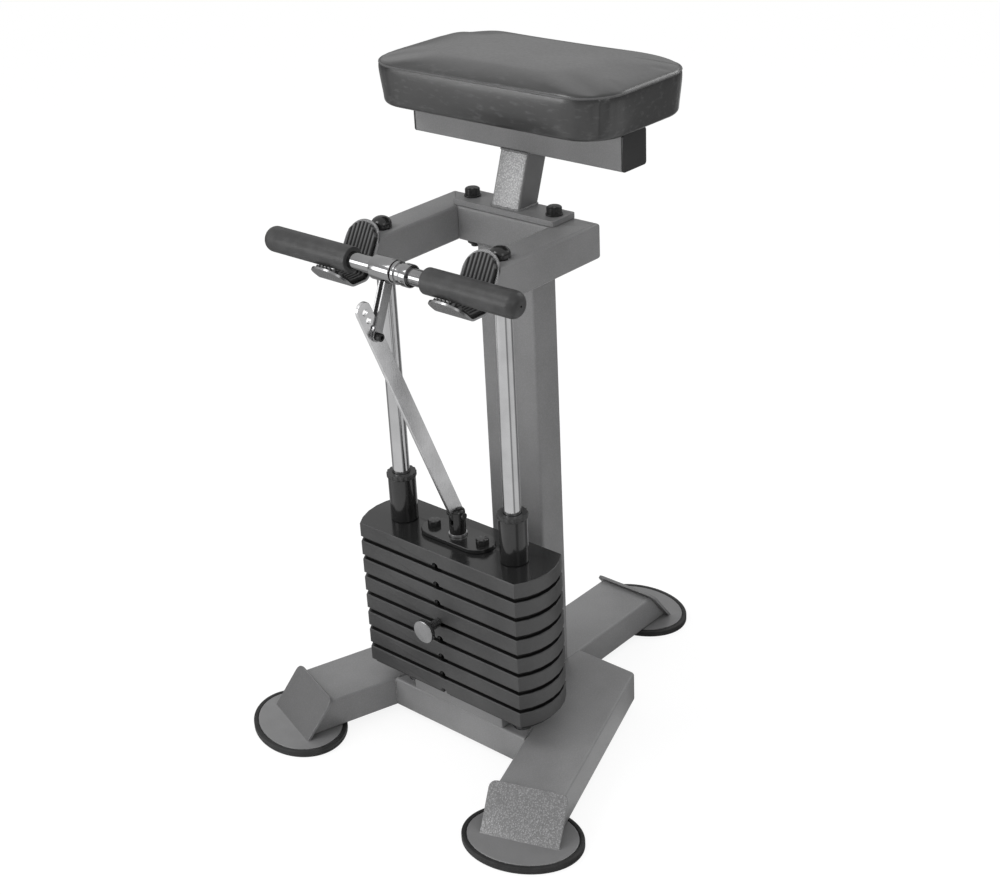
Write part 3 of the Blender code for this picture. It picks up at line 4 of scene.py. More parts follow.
import bmesh
import bpy
import numpy as np
from mathutils import Matrix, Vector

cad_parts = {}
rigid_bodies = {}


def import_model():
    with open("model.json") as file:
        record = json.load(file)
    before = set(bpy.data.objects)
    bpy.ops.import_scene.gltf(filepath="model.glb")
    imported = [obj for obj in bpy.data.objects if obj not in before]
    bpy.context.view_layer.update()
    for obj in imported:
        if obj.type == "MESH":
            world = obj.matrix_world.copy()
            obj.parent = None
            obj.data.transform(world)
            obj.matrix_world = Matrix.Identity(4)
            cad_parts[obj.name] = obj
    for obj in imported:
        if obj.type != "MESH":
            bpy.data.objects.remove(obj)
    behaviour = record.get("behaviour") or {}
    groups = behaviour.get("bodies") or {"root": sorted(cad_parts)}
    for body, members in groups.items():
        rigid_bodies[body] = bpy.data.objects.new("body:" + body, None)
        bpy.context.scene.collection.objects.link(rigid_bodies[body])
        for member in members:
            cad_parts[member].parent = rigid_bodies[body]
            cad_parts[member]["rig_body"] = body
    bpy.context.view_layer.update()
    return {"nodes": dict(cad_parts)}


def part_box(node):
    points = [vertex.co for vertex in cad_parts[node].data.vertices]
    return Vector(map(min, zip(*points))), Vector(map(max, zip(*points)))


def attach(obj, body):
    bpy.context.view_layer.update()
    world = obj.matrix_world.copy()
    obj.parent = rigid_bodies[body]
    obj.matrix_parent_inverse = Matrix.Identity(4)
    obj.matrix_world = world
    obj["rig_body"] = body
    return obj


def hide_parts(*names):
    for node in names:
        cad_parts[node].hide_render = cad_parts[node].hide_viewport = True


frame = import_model()
print("frame loaded,", len(frame["nodes"]), "nodes")


# Shader maths

class Wire:
    # one output socket of a recipe, so that maths on it reads as plain expressions
    def __init__(self, recipe, socket):
        self.recipe = recipe
        self.socket = socket

    def maths(self, operation, *values):
        inputs = {index: value for index, value in enumerate((self, *values))}
        return self.recipe.node("Math", {"operation": operation}, inputs)

    def __add__(self, other):
        return self.maths("ADD", other)

    __radd__ = __add__

    def __mul__(self, other):
        return self.maths("MULTIPLY", other)

    __rmul__ = __mul__

    def __sub__(self, other):
        return self.maths("SUBTRACT", other)

    def __rsub__(self, other):
        return self.recipe.node("Math", {"operation": "SUBTRACT"}, {0: other, 1: self})

    def __truediv__(self, other):
        return self.maths("DIVIDE", other)

    def smooth(self, low, high):
        # 0 below low, 1 above high, and an S curve between them
        settings = {"interpolation_type": "SMOOTHSTEP"}
        return self.recipe.node("MapRange", settings, {0: self, 1: low, 2: high})


class Recipe:
    # one material: its nodes come from node(), and what it shows goes in through feed()
    def __init__(self, name, colour, roughness, metallic=0.0, **constants):
        self.material = bpy.data.materials.new(name)
        self.material.use_nodes = True
        self.tree = self.material.node_tree
        self.shader = self.tree.nodes["Principled BSDF"]
        self.feed("Base Color", (*colour, 1))
        self.feed("Roughness", roughness)
        self.feed("Metallic", metallic)
        for key, value in constants.items():
            self.feed(key.replace("_", " "), value)

    def node(self, kind, settings=None, inputs=None, output=0):
        made = self.tree.nodes.new("ShaderNode" + kind)
        for key, value in (settings or {}).items():
            if key == "stops":
                while len(made.color_ramp.elements) < len(value):
                    made.color_ramp.elements.new(0.5)
                for element, (place, shade) in zip(made.color_ramp.elements, value):
                    element.position = place
                    element.color = (shade, shade, shade, 1)
            else:
                setattr(made, key, value)
        for key, value in (inputs or {}).items():
            self.join(made.inputs[key], value)
        return Wire(self, made.outputs[output]) if made.outputs else None

    def join(self, socket, value):
        if isinstance(value, Wire):
            self.tree.links.new(value.socket, socket)
        else:
            socket.default_value = value

    def feed(self, socket, value):
        self.join(self.shader.inputs[socket], value)

    def place(self, scale=(1, 1, 1), turn=(0, 0, 0), shift=(0, 0, 0)):
        spot = self.node("TexCoord", output="Object")
        inputs = {"Vector": spot, "Location": shift, "Rotation": turn, "Scale": scale}
        return self.node("Mapping", None, inputs)

    def noise(self, scale, detail=2.0, spot=None):
        return self.node("TexNoise", None, {"Vector": spot or self.place(), "Scale": scale, "Detail": detail})

    def cells(self, scale, feature="F1"):
        return self.node("TexVoronoi", {"feature": feature}, {"Vector": self.place(), "Scale": scale})

    def facing(self, way):
        # how squarely the surface faces a fixed direction of the object
        normal = self.node("NewGeometry", output="Normal")
        return self.node("VectorMath", {"operation": "DOT_PRODUCT"}, {0: normal, 1: way}, "Value")

    def blend(self, share, first, second):
        shades = [(*c, 1) if isinstance(c, tuple) else c for c in (first, second)]
        return self.node("Mix", {"data_type": "RGBA"}, {0: share, 6: shades[0], 7: shades[1]}, 2)

    def mottled(self, share, level, darker, lighter):
        # a grey that wanders from a little darker than its level to a little lighter
        return self.blend(share, grey(level - darker), grey(level + lighter))

    def bump(self, height, distance, strength=1.0):
        inputs = {"Height": height, "Distance": distance, "Strength": strength}
        self.feed("Normal", self.node("Bump", None, inputs))

    def along(self, axis, spot=None):
        # one coordinate of a place on the piece
        return self.node("SeparateXYZ", None, {"Vector": spot or self.place()}, axis)


class Room(Recipe):
    # the same tools on the world's own nodes
    def __init__(self, world):
        world.use_nodes = True
        self.tree = world.node_tree
        self.tree.nodes.clear()


def grey(level):
    # an sRGB level from 0 to 255 as a neutral linear colour
    share = level / 255
    value = share / 12.92 if share <= 0.04045 else ((share + 0.055) / 1.055) ** 2.4
    return (value, value, value * 1.01)


def framePaint():
    # satin paint with fine orange peel and a few lighter grains
    look = {"shade": 122, "gloss": 0.40, "peel": 0.00010}
    paint = Recipe("satinGreyPaint", grey(look["shade"]), look["gloss"], Specular_IOR_Level=0.45)
    cloud = paint.noise(9.0, 3.0)
    peel = paint.noise(520.0, 2.0)
    grit = paint.cells(620.0)
    base = paint.mottled(cloud.smooth(0.3, 0.7), look["shade"], 6, 6)
    paint.feed("Base Color", paint.blend(grit.smooth(0.35, 0.75) * 0.18, base, grey(look["shade"] + 34)))
    paint.feed("Roughness", look["gloss"] - 0.06 + peel * 0.14)
    paint.bump(peel + grit * 0.4, look["peel"], 0.7)
    return paint.material


def hammeredPaintWithPaintedLight(name, way, shade, speckle, plainShade):
    # the same paint with a pebbled bump, and painted light on the faces that look the given way: a lighter or
    # darker painted shade there, with a silvery speckle of painted glints
    look = {"gloss": 0.36, "pebble": 0.00034, "sharp": (0.80, 0.90)}
    paint = Recipe(name, grey(shade), look["gloss"], 0.25, Specular_IOR_Level=0.6)
    pebble = paint.cells(390.0)
    fine = paint.cells(900.0)
    cloud = paint.noise(40.0, 3.0)
    # painted light: the faces that look the given way, painted lighter on the post and the right plate,
    # darker on the left plate
    front = paint.facing(way).smooth(*look["sharp"])
    share = (1 - pebble.smooth(0.15, 0.60)) * 0.65 + fine.smooth(0.35, 0.8) * 0.35
    # painted glints: a speckle from the face's painted shade up to the glint shade
    speckledPaintedLight = paint.blend(share * (0.65 + cloud * 0.5), grey(shade), grey(speckle))
    plain = paint.mottled(cloud.smooth(0.3, 0.7), plainShade, 2, 2)
    paint.feed("Base Color", paint.blend(front, plain, speckledPaintedLight))
    paint.feed("Metallic", front * 0.25)
    paint.feed("Roughness", 0.42 - front * 0.08 + fine * 0.06)
    paint.bump((1 - pebble) * (0.15 + front * 0.85) + fine * 0.15, look["pebble"], 0.8)
    return paint.material


def weldPaint():
    look = {"shade": 112, "gloss": 0.38}
    paint = Recipe("paintedWeld", grey(look["shade"]), look["gloss"], Specular_IOR_Level=0.5)
    spatter = paint.noise(900.0, 2.0)
    paint.feed("Base Color", paint.blend(spatter.smooth(0.35, 0.75), grey(96), grey(138)))
    paint.bump(spatter, 0.0004, 0.8)
    return paint.material


# the groove under each weight plate: its height in the solids, the taller height it is drawn with here and
# painted near black to as painted shade (the worn entry), the plates' pitch, and the grey of that painted
# shade
groove = {"solid": 0.0038, "worn": 0.0070, "pitch": 0.0305, "shade": 18}


def platePaintWithPaintedShadeAndLight(name, shade, topShade, gloss, topGloss):
    # cast weight plates under black paint: pitted fronts and smoother tops; the dark grooves between them,
    # the faces looking down and the tops carry painted shade, and the ends facing right carry painted light
    paint = Recipe(name, grey(shade), gloss, Specular_IOR_Level=0.5)
    pits = paint.noise(260.0, 4.0)
    cloud = paint.noise(14.0, 3.0)
    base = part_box("weight_plate_7")[0][2] % groove["pitch"]
    level = ((paint.along("Z") - base) / groove["pitch"]).maths("FRACT")
    edge = groove["worn"] / groove["pitch"]
    # painted shade: each groove, up to the height it is drawn with, painted near black
    dark = 1 - level.smooth(edge - 0.012, edge + 0.004)
    # painted shade: the tops, which show as ledges inside the grooves, and the faces looking down are painted
    # darker
    top = paint.facing((0.0, 0.0, 1.0)).smooth(0.7, 0.95)
    under = paint.facing((0.0, 0.0, -1.0)).smooth(0.7, 0.95)
    side = paint.mottled(cloud.smooth(0.3, 0.75), shade, 5, 8)
    # painted light: the ends that face right are painted lighter; the scuffs mixed in with them are wear
    ends = paint.facing((0.85, -0.50, 0.0)).smooth(0.75, 1.0)
    scuffs = paint.noise(380.0, 2.0).smooth(0.56, 0.74) * (0.25 + cloud * 0.5)
    side = paint.blend(ends * 0.6 + scuffs * 0.4, side, grey(shade + 22))
    side = paint.blend((dark + under).maths("MINIMUM", 1.0), side, grey(groove["shade"]))
    paint.feed("Base Color", paint.blend(top, side, grey(topShade)))
    paint.feed("Roughness", gloss + pits * 0.12 - top * (gloss - topGloss))
    paint.bump(pits * (1 - top * 0.8), 0.00022, 0.7)
    return paint.material


def glossEnamel():
    paint = Recipe("glossBlackEnamel", grey(34), 0.16, Specular_IOR_Level=0.5, Coat_Roughness=0.05)
    peel = paint.noise(300.0, 2.0)
    cloud = paint.noise(30.0, 3.0)
    paint.feed("Base Color", paint.blend(cloud, grey(26), grey(38)))
    paint.feed("Coat Weight", 0.10 + cloud * 0.15)
    paint.feed("Roughness", 0.13 + peel * 0.05)
    paint.bump(peel, 0.00002, 0.5)
    return paint.material


def polishedChrome(name, shade):
    steel = Recipe(name, grey(shade), 0.09, 1.0)
    lines = steel.noise(260.0, 2.0, steel.place((1, 1, 0.02)))
    haze = steel.noise(24.0, 3.0)
    steel.feed("Base Color", steel.mottled(haze.smooth(0.3, 0.8), shade, 6, 7))
    steel.feed("Roughness", 0.06 + lines * 0.07 + haze * 0.04)
    return steel.material


def brushedSteel(name, shade, turn=(0, 0, 0), depth=0.00003):
    # bright plated steel with brushing along its length
    steel = Recipe(name, grey(shade), 0.24, 1.0)
    lines = steel.noise(900.0, 3.0, steel.place((1, 1, 0.012), turn))
    haze = steel.noise(30.0, 3.0)
    steel.feed("Base Color", steel.mottled(haze.smooth(0.35, 0.75), shade, 10, 8))
    steel.feed("Roughness", 0.18 + lines * 0.16)
    steel.bump(lines, depth, 0.5)
    return steel.material


def stemFinish(level):
    # gloss black lacquer above its foot ring, bare bright steel below it
    stem = Recipe("lacqueredStem", grey(30), 0.14, Specular_IOR_Level=0.5)
    lines = stem.noise(900.0, 3.0, stem.place((1, 1, 0.012)))
    peel = stem.noise(300.0, 2.0)
    bare = 1 - stem.along("Z").smooth(level - 0.0002, level + 0.0002)
    stem.feed("Base Color", stem.blend(bare, grey(26), grey(182)))
    stem.feed("Metallic", bare)
    stem.feed("Roughness", 0.11 + peel * 0.06 + bare * (0.10 + lines * 0.14))
    return stem.material


def blackOxide():
    steel = Recipe("blackOxide", grey(44), 0.38, 0.5)
    grain = steel.noise(500.0, 3.0)
    steel.feed("Base Color", steel.blend(grain.smooth(0.3, 0.8), grey(36), grey(60)))
    steel.feed("Roughness", 0.30 + grain * 0.18)
    steel.bump(grain, 0.00005, 0.6)
    return steel.material


def mouldedPlastic(name, shade, gloss):
    plastic = Recipe(name, grey(shade), gloss, Specular_IOR_Level=0.5)
    grain = plastic.noise(900.0, 2.0)
    cloud = plastic.noise(40.0, 2.0)
    plastic.feed("Base Color", plastic.mottled(cloud, shade, 4, 6))
    plastic.feed("Roughness", gloss - 0.05 + grain * 0.12)
    plastic.bump(grain, 0.00005, 0.6)
    return plastic.material


def softRubber(name, shade, gloss, grainScale, depth):
    # matt rubber: fine leathery grain with a dusty bloom
    rubber = Recipe(name, grey(shade), gloss, Specular_IOR_Level=0.35)
    grain = rubber.cells(grainScale, feature="SMOOTH_F1")
    bloom = rubber.noise(60.0, 4.0)
    rubber.feed("Base Color", rubber.mottled(bloom.smooth(0.3, 0.75), shade, 5, 7))
    rubber.feed("Roughness", gloss - 0.06 + grain * 0.12)
    rubber.bump(grain + bloom * 0.5, depth, 0.7)
    return rubber.material


def linerRubber(name, start, pitch):
    # moulded ribs, paler on their crests and darker in the grooves between them
    rubber = Recipe(name, grey(48), 0.55, Specular_IOR_Level=0.35)
    crest = ((rubber.along("X") - start) / pitch * math.tau).maths("COSINE") * -0.5 + 0.5
    grain = rubber.cells(500.0, feature="SMOOTH_F1")
    bloom = rubber.noise(60.0, 4.0)
    worn = crest.smooth(0.30, 0.80) * (0.75 + bloom * 0.5)
    rubber.feed("Base Color", rubber.blend(worn.maths("MINIMUM", 1.0), grey(24), grey(98)))
    rubber.feed("Roughness", 0.50 + grain * 0.12)
    rubber.bump(grain + bloom * 0.5, 0.0002, 0.7)
    return rubber.material


def grainedVinylWithPaintedLight():
    # dark grey upholstery vinyl: pebble grain crossed by fine creases, with painted light: its top painted
    # lighter than its sides and rolled-over edges
    look = {"shade": 62, "gloss": 0.32, "grain": 0.00018}
    vinyl = Recipe("grainedVinylWithPaintedLight", grey(look["shade"]), look["gloss"],
                   Specular_IOR_Level=0.55, Coat_Roughness=0.20)
    vinyl.feed("Coat Weight", 0.35)
    pebble = vinyl.cells(760.0, feature="SMOOTH_F1")
    crease = vinyl.noise(190.0, 4.0)
    cloud = vinyl.noise(11.0, 3.0)
    # painted light and shade: the flat top is painted lighter and the sides and rolled-over edges darker, as
    # two copies of one vinyl
    top = vinyl.facing((0.0, 0.0, 1.0)).smooth(0.88, 0.998)
    side = vinyl.blend(cloud.smooth(0.3, 0.75), grey(35), grey(48))
    flat = vinyl.blend(cloud.smooth(0.3, 0.75), grey(57), grey(70))
    # short worn streaks that run along the pad, fewest on the top
    worn = vinyl.noise(170.0, 5.0, vinyl.place((0.35, 0.6, 1.0))).smooth(0.52, 0.72) * (1 - top * 0.8)
    shade = vinyl.blend(top, side, flat)
    vinyl.feed("Base Color", vinyl.blend(worn * 0.45, shade, grey(78)))
    vinyl.feed("Roughness", look["gloss"] - 0.08 + crease * 0.14 + pebble * 0.06)
    vinyl.bump(pebble * 0.6 + crease * 0.5, look["grain"], 0.55)
    return vinyl.material


def stainedBoard():
    board = Recipe("stainedBoard", grey(52), 0.75)
    fibres = board.noise(60.0, 5.0, board.place((0.08, 1, 1)))
    dark, pale = (0.020, 0.015, 0.011), (0.062, 0.048, 0.036)
    board.feed("Base Color", board.blend(fibres.smooth(0.3, 0.7), dark, pale))
    board.feed("Roughness", 0.65 + fibres * 0.2)
    board.bump(fibres, 0.0003, 0.6)
    return board.material


# each finish with its material slot
finish = {
    "grey": (framePaint(), "grey_paint"),
    # the foot plates and the slanted post carry painted light on the faces that look one way: a darker
    # painted shade on the left plate, a lighter one with painted glints on the right plate and the post; the
    # post's other faces are painted darker than the frame's paint, also a painted shade
    "plainPlate": (hammeredPaintWithPaintedLight("plainPlatePaintWithPaintedShade", (-0.45, -0.75, 0.48), 98, 104, 118), "grey_paint"),
    "speckledPaintedLight": (hammeredPaintWithPaintedLight("speckledPlatePaintWithPaintedLight", (0.45, -0.75, 0.48), 104, 152, 114), "grey_paint"),
    "hammeredPostPaintedLight": (hammeredPaintWithPaintedLight("hammeredPostPaintWithPaintedLight", (0.0, -0.94, 0.33), 134, 184, 104), "grey_paint"),
    "weld": (weldPaint(), "grey_paint"),
    # the weight plates: painted shade in the grooves, on the faces looking down and on the tops, and painted
    # light on the ends facing right
    "plate": (platePaintWithPaintedShadeAndLight("castBlackPaintWithPaintedShade", 52, 18, 0.42, 0.24), "stack_black"),
    "topPlate": (platePaintWithPaintedShadeAndLight("glossTopPlatePaintWithPaintedShade", 52, 33, 0.40, 0.10), "stack_black"),
    "enamel": (glossEnamel(), "black_enamel"),
    "chrome": (polishedChrome("polishedChrome", 188), "chrome"),
    # a darker copy of the rods' chrome, a painted shade for the darker reflections on the bar, the hub and
    # the collar
    "barChrome": (polishedChrome("barChrome", 149), "chrome"),
    "link": (brushedSteel("brushedLink", 214, (math.radians(-22.3), 0, 0)), "bright_steel"),
    "pin": (brushedSteel("satinPin", 150), "chrome"),
    "strip": (brushedSteel("brushedStrip", 150, (math.radians(45), 0, 0)), "chrome"),
    "sheet": (brushedSteel("dullZincSheet", 152, depth=0.00001), "cradle_steel"),
    "oxide": (blackOxide(), "black_fasteners"),
    "plastic": (mouldedPlastic("mouldedBlack", 34, 0.36), "black_plastic"),
    "capPlastic": (mouldedPlastic("glossCapPlastic", 30, 0.16), "black_plastic"),
    "nylon": (mouldedPlastic("blackNylon", 44, 0.40), "black_nylon"),
    "footRubber": (softRubber("footRubber", 36, 0.60, 500.0, 0.0002), "foot_rubber"),
    "grip": (softRubber("gripRubber", 57, 0.42, 620.0, 0.0002), "grip_rubber"),
    "vinyl": (grainedVinylWithPaintedLight(), "pad_vinyl"),
    # the piping is the pad's vinyl painted paler, a painted highlight along the seam
    "piping": (softRubber("vinylPipingPaintedHighlight", 86, 0.36, 620.0, 0.0002), "pad_vinyl"),
    "board": (stainedBoard(), "pad_board"),
}
print("finishes made:", len(finish))


# Surfaces as whole arrays

def unit(vectors):
    return vectors / np.maximum(np.linalg.norm(vectors, axis=-1, keepdims=True), 1e-12)


def softened(corners, radius, steps=5, closed=False):
    # each corner becomes a quadratic curve that starts radius before it and ends radius after it
    points = np.asarray(corners, float)
    before = np.roll(points, 1, 0) - points
    after = np.roll(points, -1, 0) - points
    reach = np.minimum(np.linalg.norm(before, axis=1), np.linalg.norm(after, axis=1))
    reach = np.minimum(np.broadcast_to(radius, reach.shape), reach * 0.49)[:, None]
    share = np.linspace(0, 1, steps)[None, :, None]
    start = (points + unit(before) * reach)[:, None]
    end = (points + unit(after) * reach)[:, None]
    curve = (1 - share) ** 2 * start + 2 * share * (1 - share) * points[:, None] + share ** 2 * end
    if closed:
        return curve.reshape(-1, points.shape[1])
    middle = curve[1:-1].reshape(-1, points.shape[1])
    return np.concatenate([points[:1], middle, points[-1:]])


def gridFaces(rows, columns, wrapRows=False, wrapColumns=True):
    # quads between neighbouring rows and columns of a grid of points
    row = np.arange(rows if wrapRows else rows - 1)[:, None]
    column = np.arange(columns if wrapColumns else columns - 1)[None, :]
    nextRow = (row + 1) % rows
    nextColumn = (column + 1) % columns
    corners = [row * columns + column, row * columns + nextColumn,
               nextRow * columns + nextColumn, nextRow * columns + column]
    return np.stack([np.broadcast_to(c, (row.size, column.size)).ravel() for c in corners], axis=1)


def outwards(bm):
    # merge doubled points, then face outwards every closed part
    bmesh.ops.remove_doubles(bm, verts=bm.verts[:], dist=2e-6)
    bmesh.ops.dissolve_degenerate(bm, edges=bm.edges[:], dist=1e-7)
    bmesh.ops.recalc_face_normals(bm, faces=bm.faces[:])


def piece(name, points, faces, look, body, nodes=(), smooth=40, edge=0.0):
    mesh = bpy.data.meshes.new(name)
    rows = faces.tolist() if isinstance(faces, np.ndarray) else faces
    mesh.from_pydata(np.asarray(points, float).reshape(-1, 3).tolist(), [], rows)
    bm = bmesh.new()
    bm.from_mesh(mesh)
    outwards(bm)
    bm.to_mesh(mesh)
    bm.free()
    return settle(name, mesh, look, body, nodes, smooth, edge)


def linked(name, data):
    thing = bpy.data.objects.new(name, data)
    bpy.context.scene.collection.objects.link(thing)
    return thing


def stood(name, data, axes, place):
    # a camera or a lamp at its place, its own axes turned along the given ones
    holder = linked(name, data)
    matrix = np.eye(4)
    matrix[:3, :3] = np.column_stack(axes)
    matrix[:3, 3] = place
    holder.matrix_world = Matrix(matrix.tolist())
    return holder


def settle(name, mesh, look, body, nodes=(), smooth=40, edge=0.0):
    # put a mesh in the scene with its finish, its body and the nodes that it stands for
    material, slot = finish[look]
    mesh.materials.clear()
    mesh.materials.append(material)
    mesh.shade_smooth()
    mesh.set_sharp_from_angle(angle=math.radians(smooth))
    thing = linked(name, mesh)
    if edge:
        bevel = thing.modifiers.new("edge", "BEVEL")
        bevel.width = edge
        bevel.segments = 2
        bevel.limit_method = "ANGLE"
        bevel.angle_limit = math.radians(35)
        bevel.harden_normals = True
    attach(thing, body)
    if nodes:
        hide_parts(*nodes)
    return thing


def finished(node, look, edge=0.0007, smooth=32, level=None, lift=0.0):
    # a merged copy of a CAD node with its edges softened; the corners at one level may be lifted a little
    mesh = frame["nodes"][node].data.copy()
    bm = bmesh.new()
    bm.from_mesh(mesh)
    bmesh.ops.remove_doubles(bm, verts=bm.verts[:], dist=5e-6)
    if level is not None:
        bmesh.ops.translate(bm, verts=[v for v in bm.verts if abs(v.co.z - level) < 1e-4], vec=(0, 0, lift))
    bmesh.ops.dissolve_limit(bm, angle_limit=math.radians(1), verts=bm.verts[:], edges=bm.edges[:])
    bm.to_mesh(mesh)
    bm.free()
    body = frame["nodes"][node]["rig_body"]
    return settle(node + "_finish", mesh, look, body, (node,), smooth, edge)


def turned(profile, axis, centre, count=64):
    # a profile of (distance along the axis, radius) points turned round an axis
    profile = np.asarray(profile, float)
    angle = np.linspace(0, math.tau, count, endpoint=False)
    along = np.asarray(axis, float)
    side = unit(np.cross(along, (0.31, 0.17, 0.93) if abs(along[2]) < 0.9 else (1.0, 0.0, 0.0)))
    other = np.cross(along, side)
    ring = side * np.cos(angle)[:, None] + other * np.sin(angle)[:, None]
    middle = np.asarray(centre, float) + profile[:, 0][:, None, None] * along
    return middle + profile[:, 1][:, None, None] * ring


def turnedPiece(name, profile, axis, centre, look, body, nodes=(), count=64, closed=False):
    points = turned(profile, axis, centre, count)
    return piece(name, points, gridFaces(len(points), count, wrapRows=closed), look, body, nodes)


def sweep(path, section, closed=False, scale=None, up=(0, 0, 1)):
    # a section of (sideways, upwards) points carried along a path, square to it, scaled at each point
    path = np.asarray(path, float)
    if closed:
        ahead = unit(np.roll(path, -1, 0) - np.roll(path, 1, 0))
    else:
        ahead = unit(np.gradient(path, axis=0))
    side = unit(np.cross(ahead, np.asarray(up, float)))
    top = np.cross(side, ahead)
    section = np.asarray(section, float)
    size = np.ones(len(path)) if scale is None else np.asarray(scale, float)
    offset = side[:, None] * section[None, :, :1] + top[:, None] * section[None, :, 1:]
    return path[:, None] + offset * size[:, None, None]


def circleSection(radius, count=10):
    angle = np.linspace(0, math.tau, count, endpoint=False)
    return np.stack([np.cos(angle), np.sin(angle)], axis=1) * radius


def capped(points, closedPath=False):
    # the faces of a swept tube, with both ends closed
    rows, columns = points.shape[:2]
    faces = gridFaces(rows, columns, wrapRows=closedPath).tolist()
    if not closedPath:
        faces.append(list(range(columns)))
        faces.append(list(range((rows - 1) * columns, rows * columns)))
    return faces


def joined(parts):
    # several grids of points and their faces as one mesh
    points = []
    faces = []
    start = 0
    for grid, quads in parts:
        flat = np.asarray(grid).reshape(-1, 3)
        points.append(flat)
        faces += [[int(index) + start for index in face] for face in quads]
        start += len(flat)
    return np.concatenate(points), faces


def resampled(path, gap, closed=False):
    # points at equal steps of about gap along a line of straight pieces
    path = np.asarray(path, float)
    if closed:
        path = np.concatenate([path, path[:1]])
    run = np.concatenate([[0], np.cumsum(np.linalg.norm(np.diff(path, axis=0), axis=1))])
    count = max(int(run[-1] / gap), 2)
    share = np.linspace(0, run[-1], count + 1)
    if closed:
        share = share[:-1]
    return np.stack([np.interp(share, run, path[:, axis]) for axis in range(3)], axis=1)


def waves(place, *rows):
    # a sum of sines, each given by its rate, its shift and its height
    return sum(np.sin(place * rate + shift) * height for rate, shift, height in rows)


def weldBead(path, width, seed=1.0, closed=False, up=(0, 0, 1)):
    # a bead whose width swells once per ripple, wanders a little and tapers at its ends
    bead = {"ripple": 0.0034, "steps": 5, "swell": 0.14, "taper": 0.9, "tip": 0.05}
    gap = bead["ripple"] / bead["steps"]
    line = resampled(path, gap, closed)
    step = np.arange(len(line)) * gap
    swell = 1 - bead["swell"] + bead["swell"] * np.abs(np.sin(step * math.pi / bead["ripple"]))
    scale = swell * (1 + waves(step, (410, seed, 0.10), (997, 2 * seed, 0.06)))
    if not closed:
        ends = np.minimum(step, step[-1] - step) / (width * bead["taper"])
        scale = scale * np.sqrt(np.clip(ends, bead["tip"], 1))
    grid = sweep(line, circleSection(width / 2, 8), closed, scale, up)
    return grid, capped(grid, closed)


def span(node):
    # a CAD node's low corner, high corner and centre
    low, high = (np.array(corner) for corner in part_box(node))
    return low, high, (low + high) / 2


def lowOf(node):
    return span(node)[0]


def highOf(node):
    return span(node)[1]


def centreOf(node):
    return span(node)[2]


def halfOf(node):
    # half of its size along each axis
    low, high, _ = span(node)
    return (high - low) / 2


railY = centreOf("guide_rod_left")[1]
rodX = centreOf("guide_rod_right")[0]


# Camera, placed first: it stands where the photograph was taken

def makeCamera():
    view = {"place": (1.4559, -1.6617, 1.5395), "yaw": 41.922, "pitch": 26.684, "roll": 2.905, "lens": 61.08}
    yaw = math.radians(view["yaw"])
    pitch = math.radians(view["pitch"])
    roll = math.radians(view["roll"])
    ahead = np.array([-math.sin(yaw) * math.cos(pitch), math.cos(yaw) * math.cos(pitch), -math.sin(pitch)])
    level = np.array([math.cos(yaw), math.sin(yaw), 0])
    down = np.cross(ahead, level)
    right = level * math.cos(roll) + down * math.sin(roll)
    down = down * math.cos(roll) - level * math.sin(roll)
    camera = bpy.data.cameras.new("camera")
    camera.lens = view["lens"]
    camera.sensor_width = 36
    camera.clip_start = 0.05
    bpy.context.scene.camera = stood("camera", camera, (right, -down, -ahead), view["place"])


makeCamera()
print("camera placed")


# Frame: tubes, plates and what is welded to them

def dressFrame():
    for node in ("base_cross_tube", "base_leg_left", "base_leg_right", "base_leg_rear", "upright_post",
                 "yoke_cross_tube", "yoke_arm_left", "yoke_arm_right", "pad_mount_plate", "pad_beam"):
        finished(node, "grey", 0.0006)
    finished("foot_plate_left", "plainPlate")
    finished("foot_plate_rear", "plainPlate")
    finished("foot_plate_right", "speckledPaintedLight")
    finished("slanted_post", "hammeredPostPaintedLight")


dressFrame()


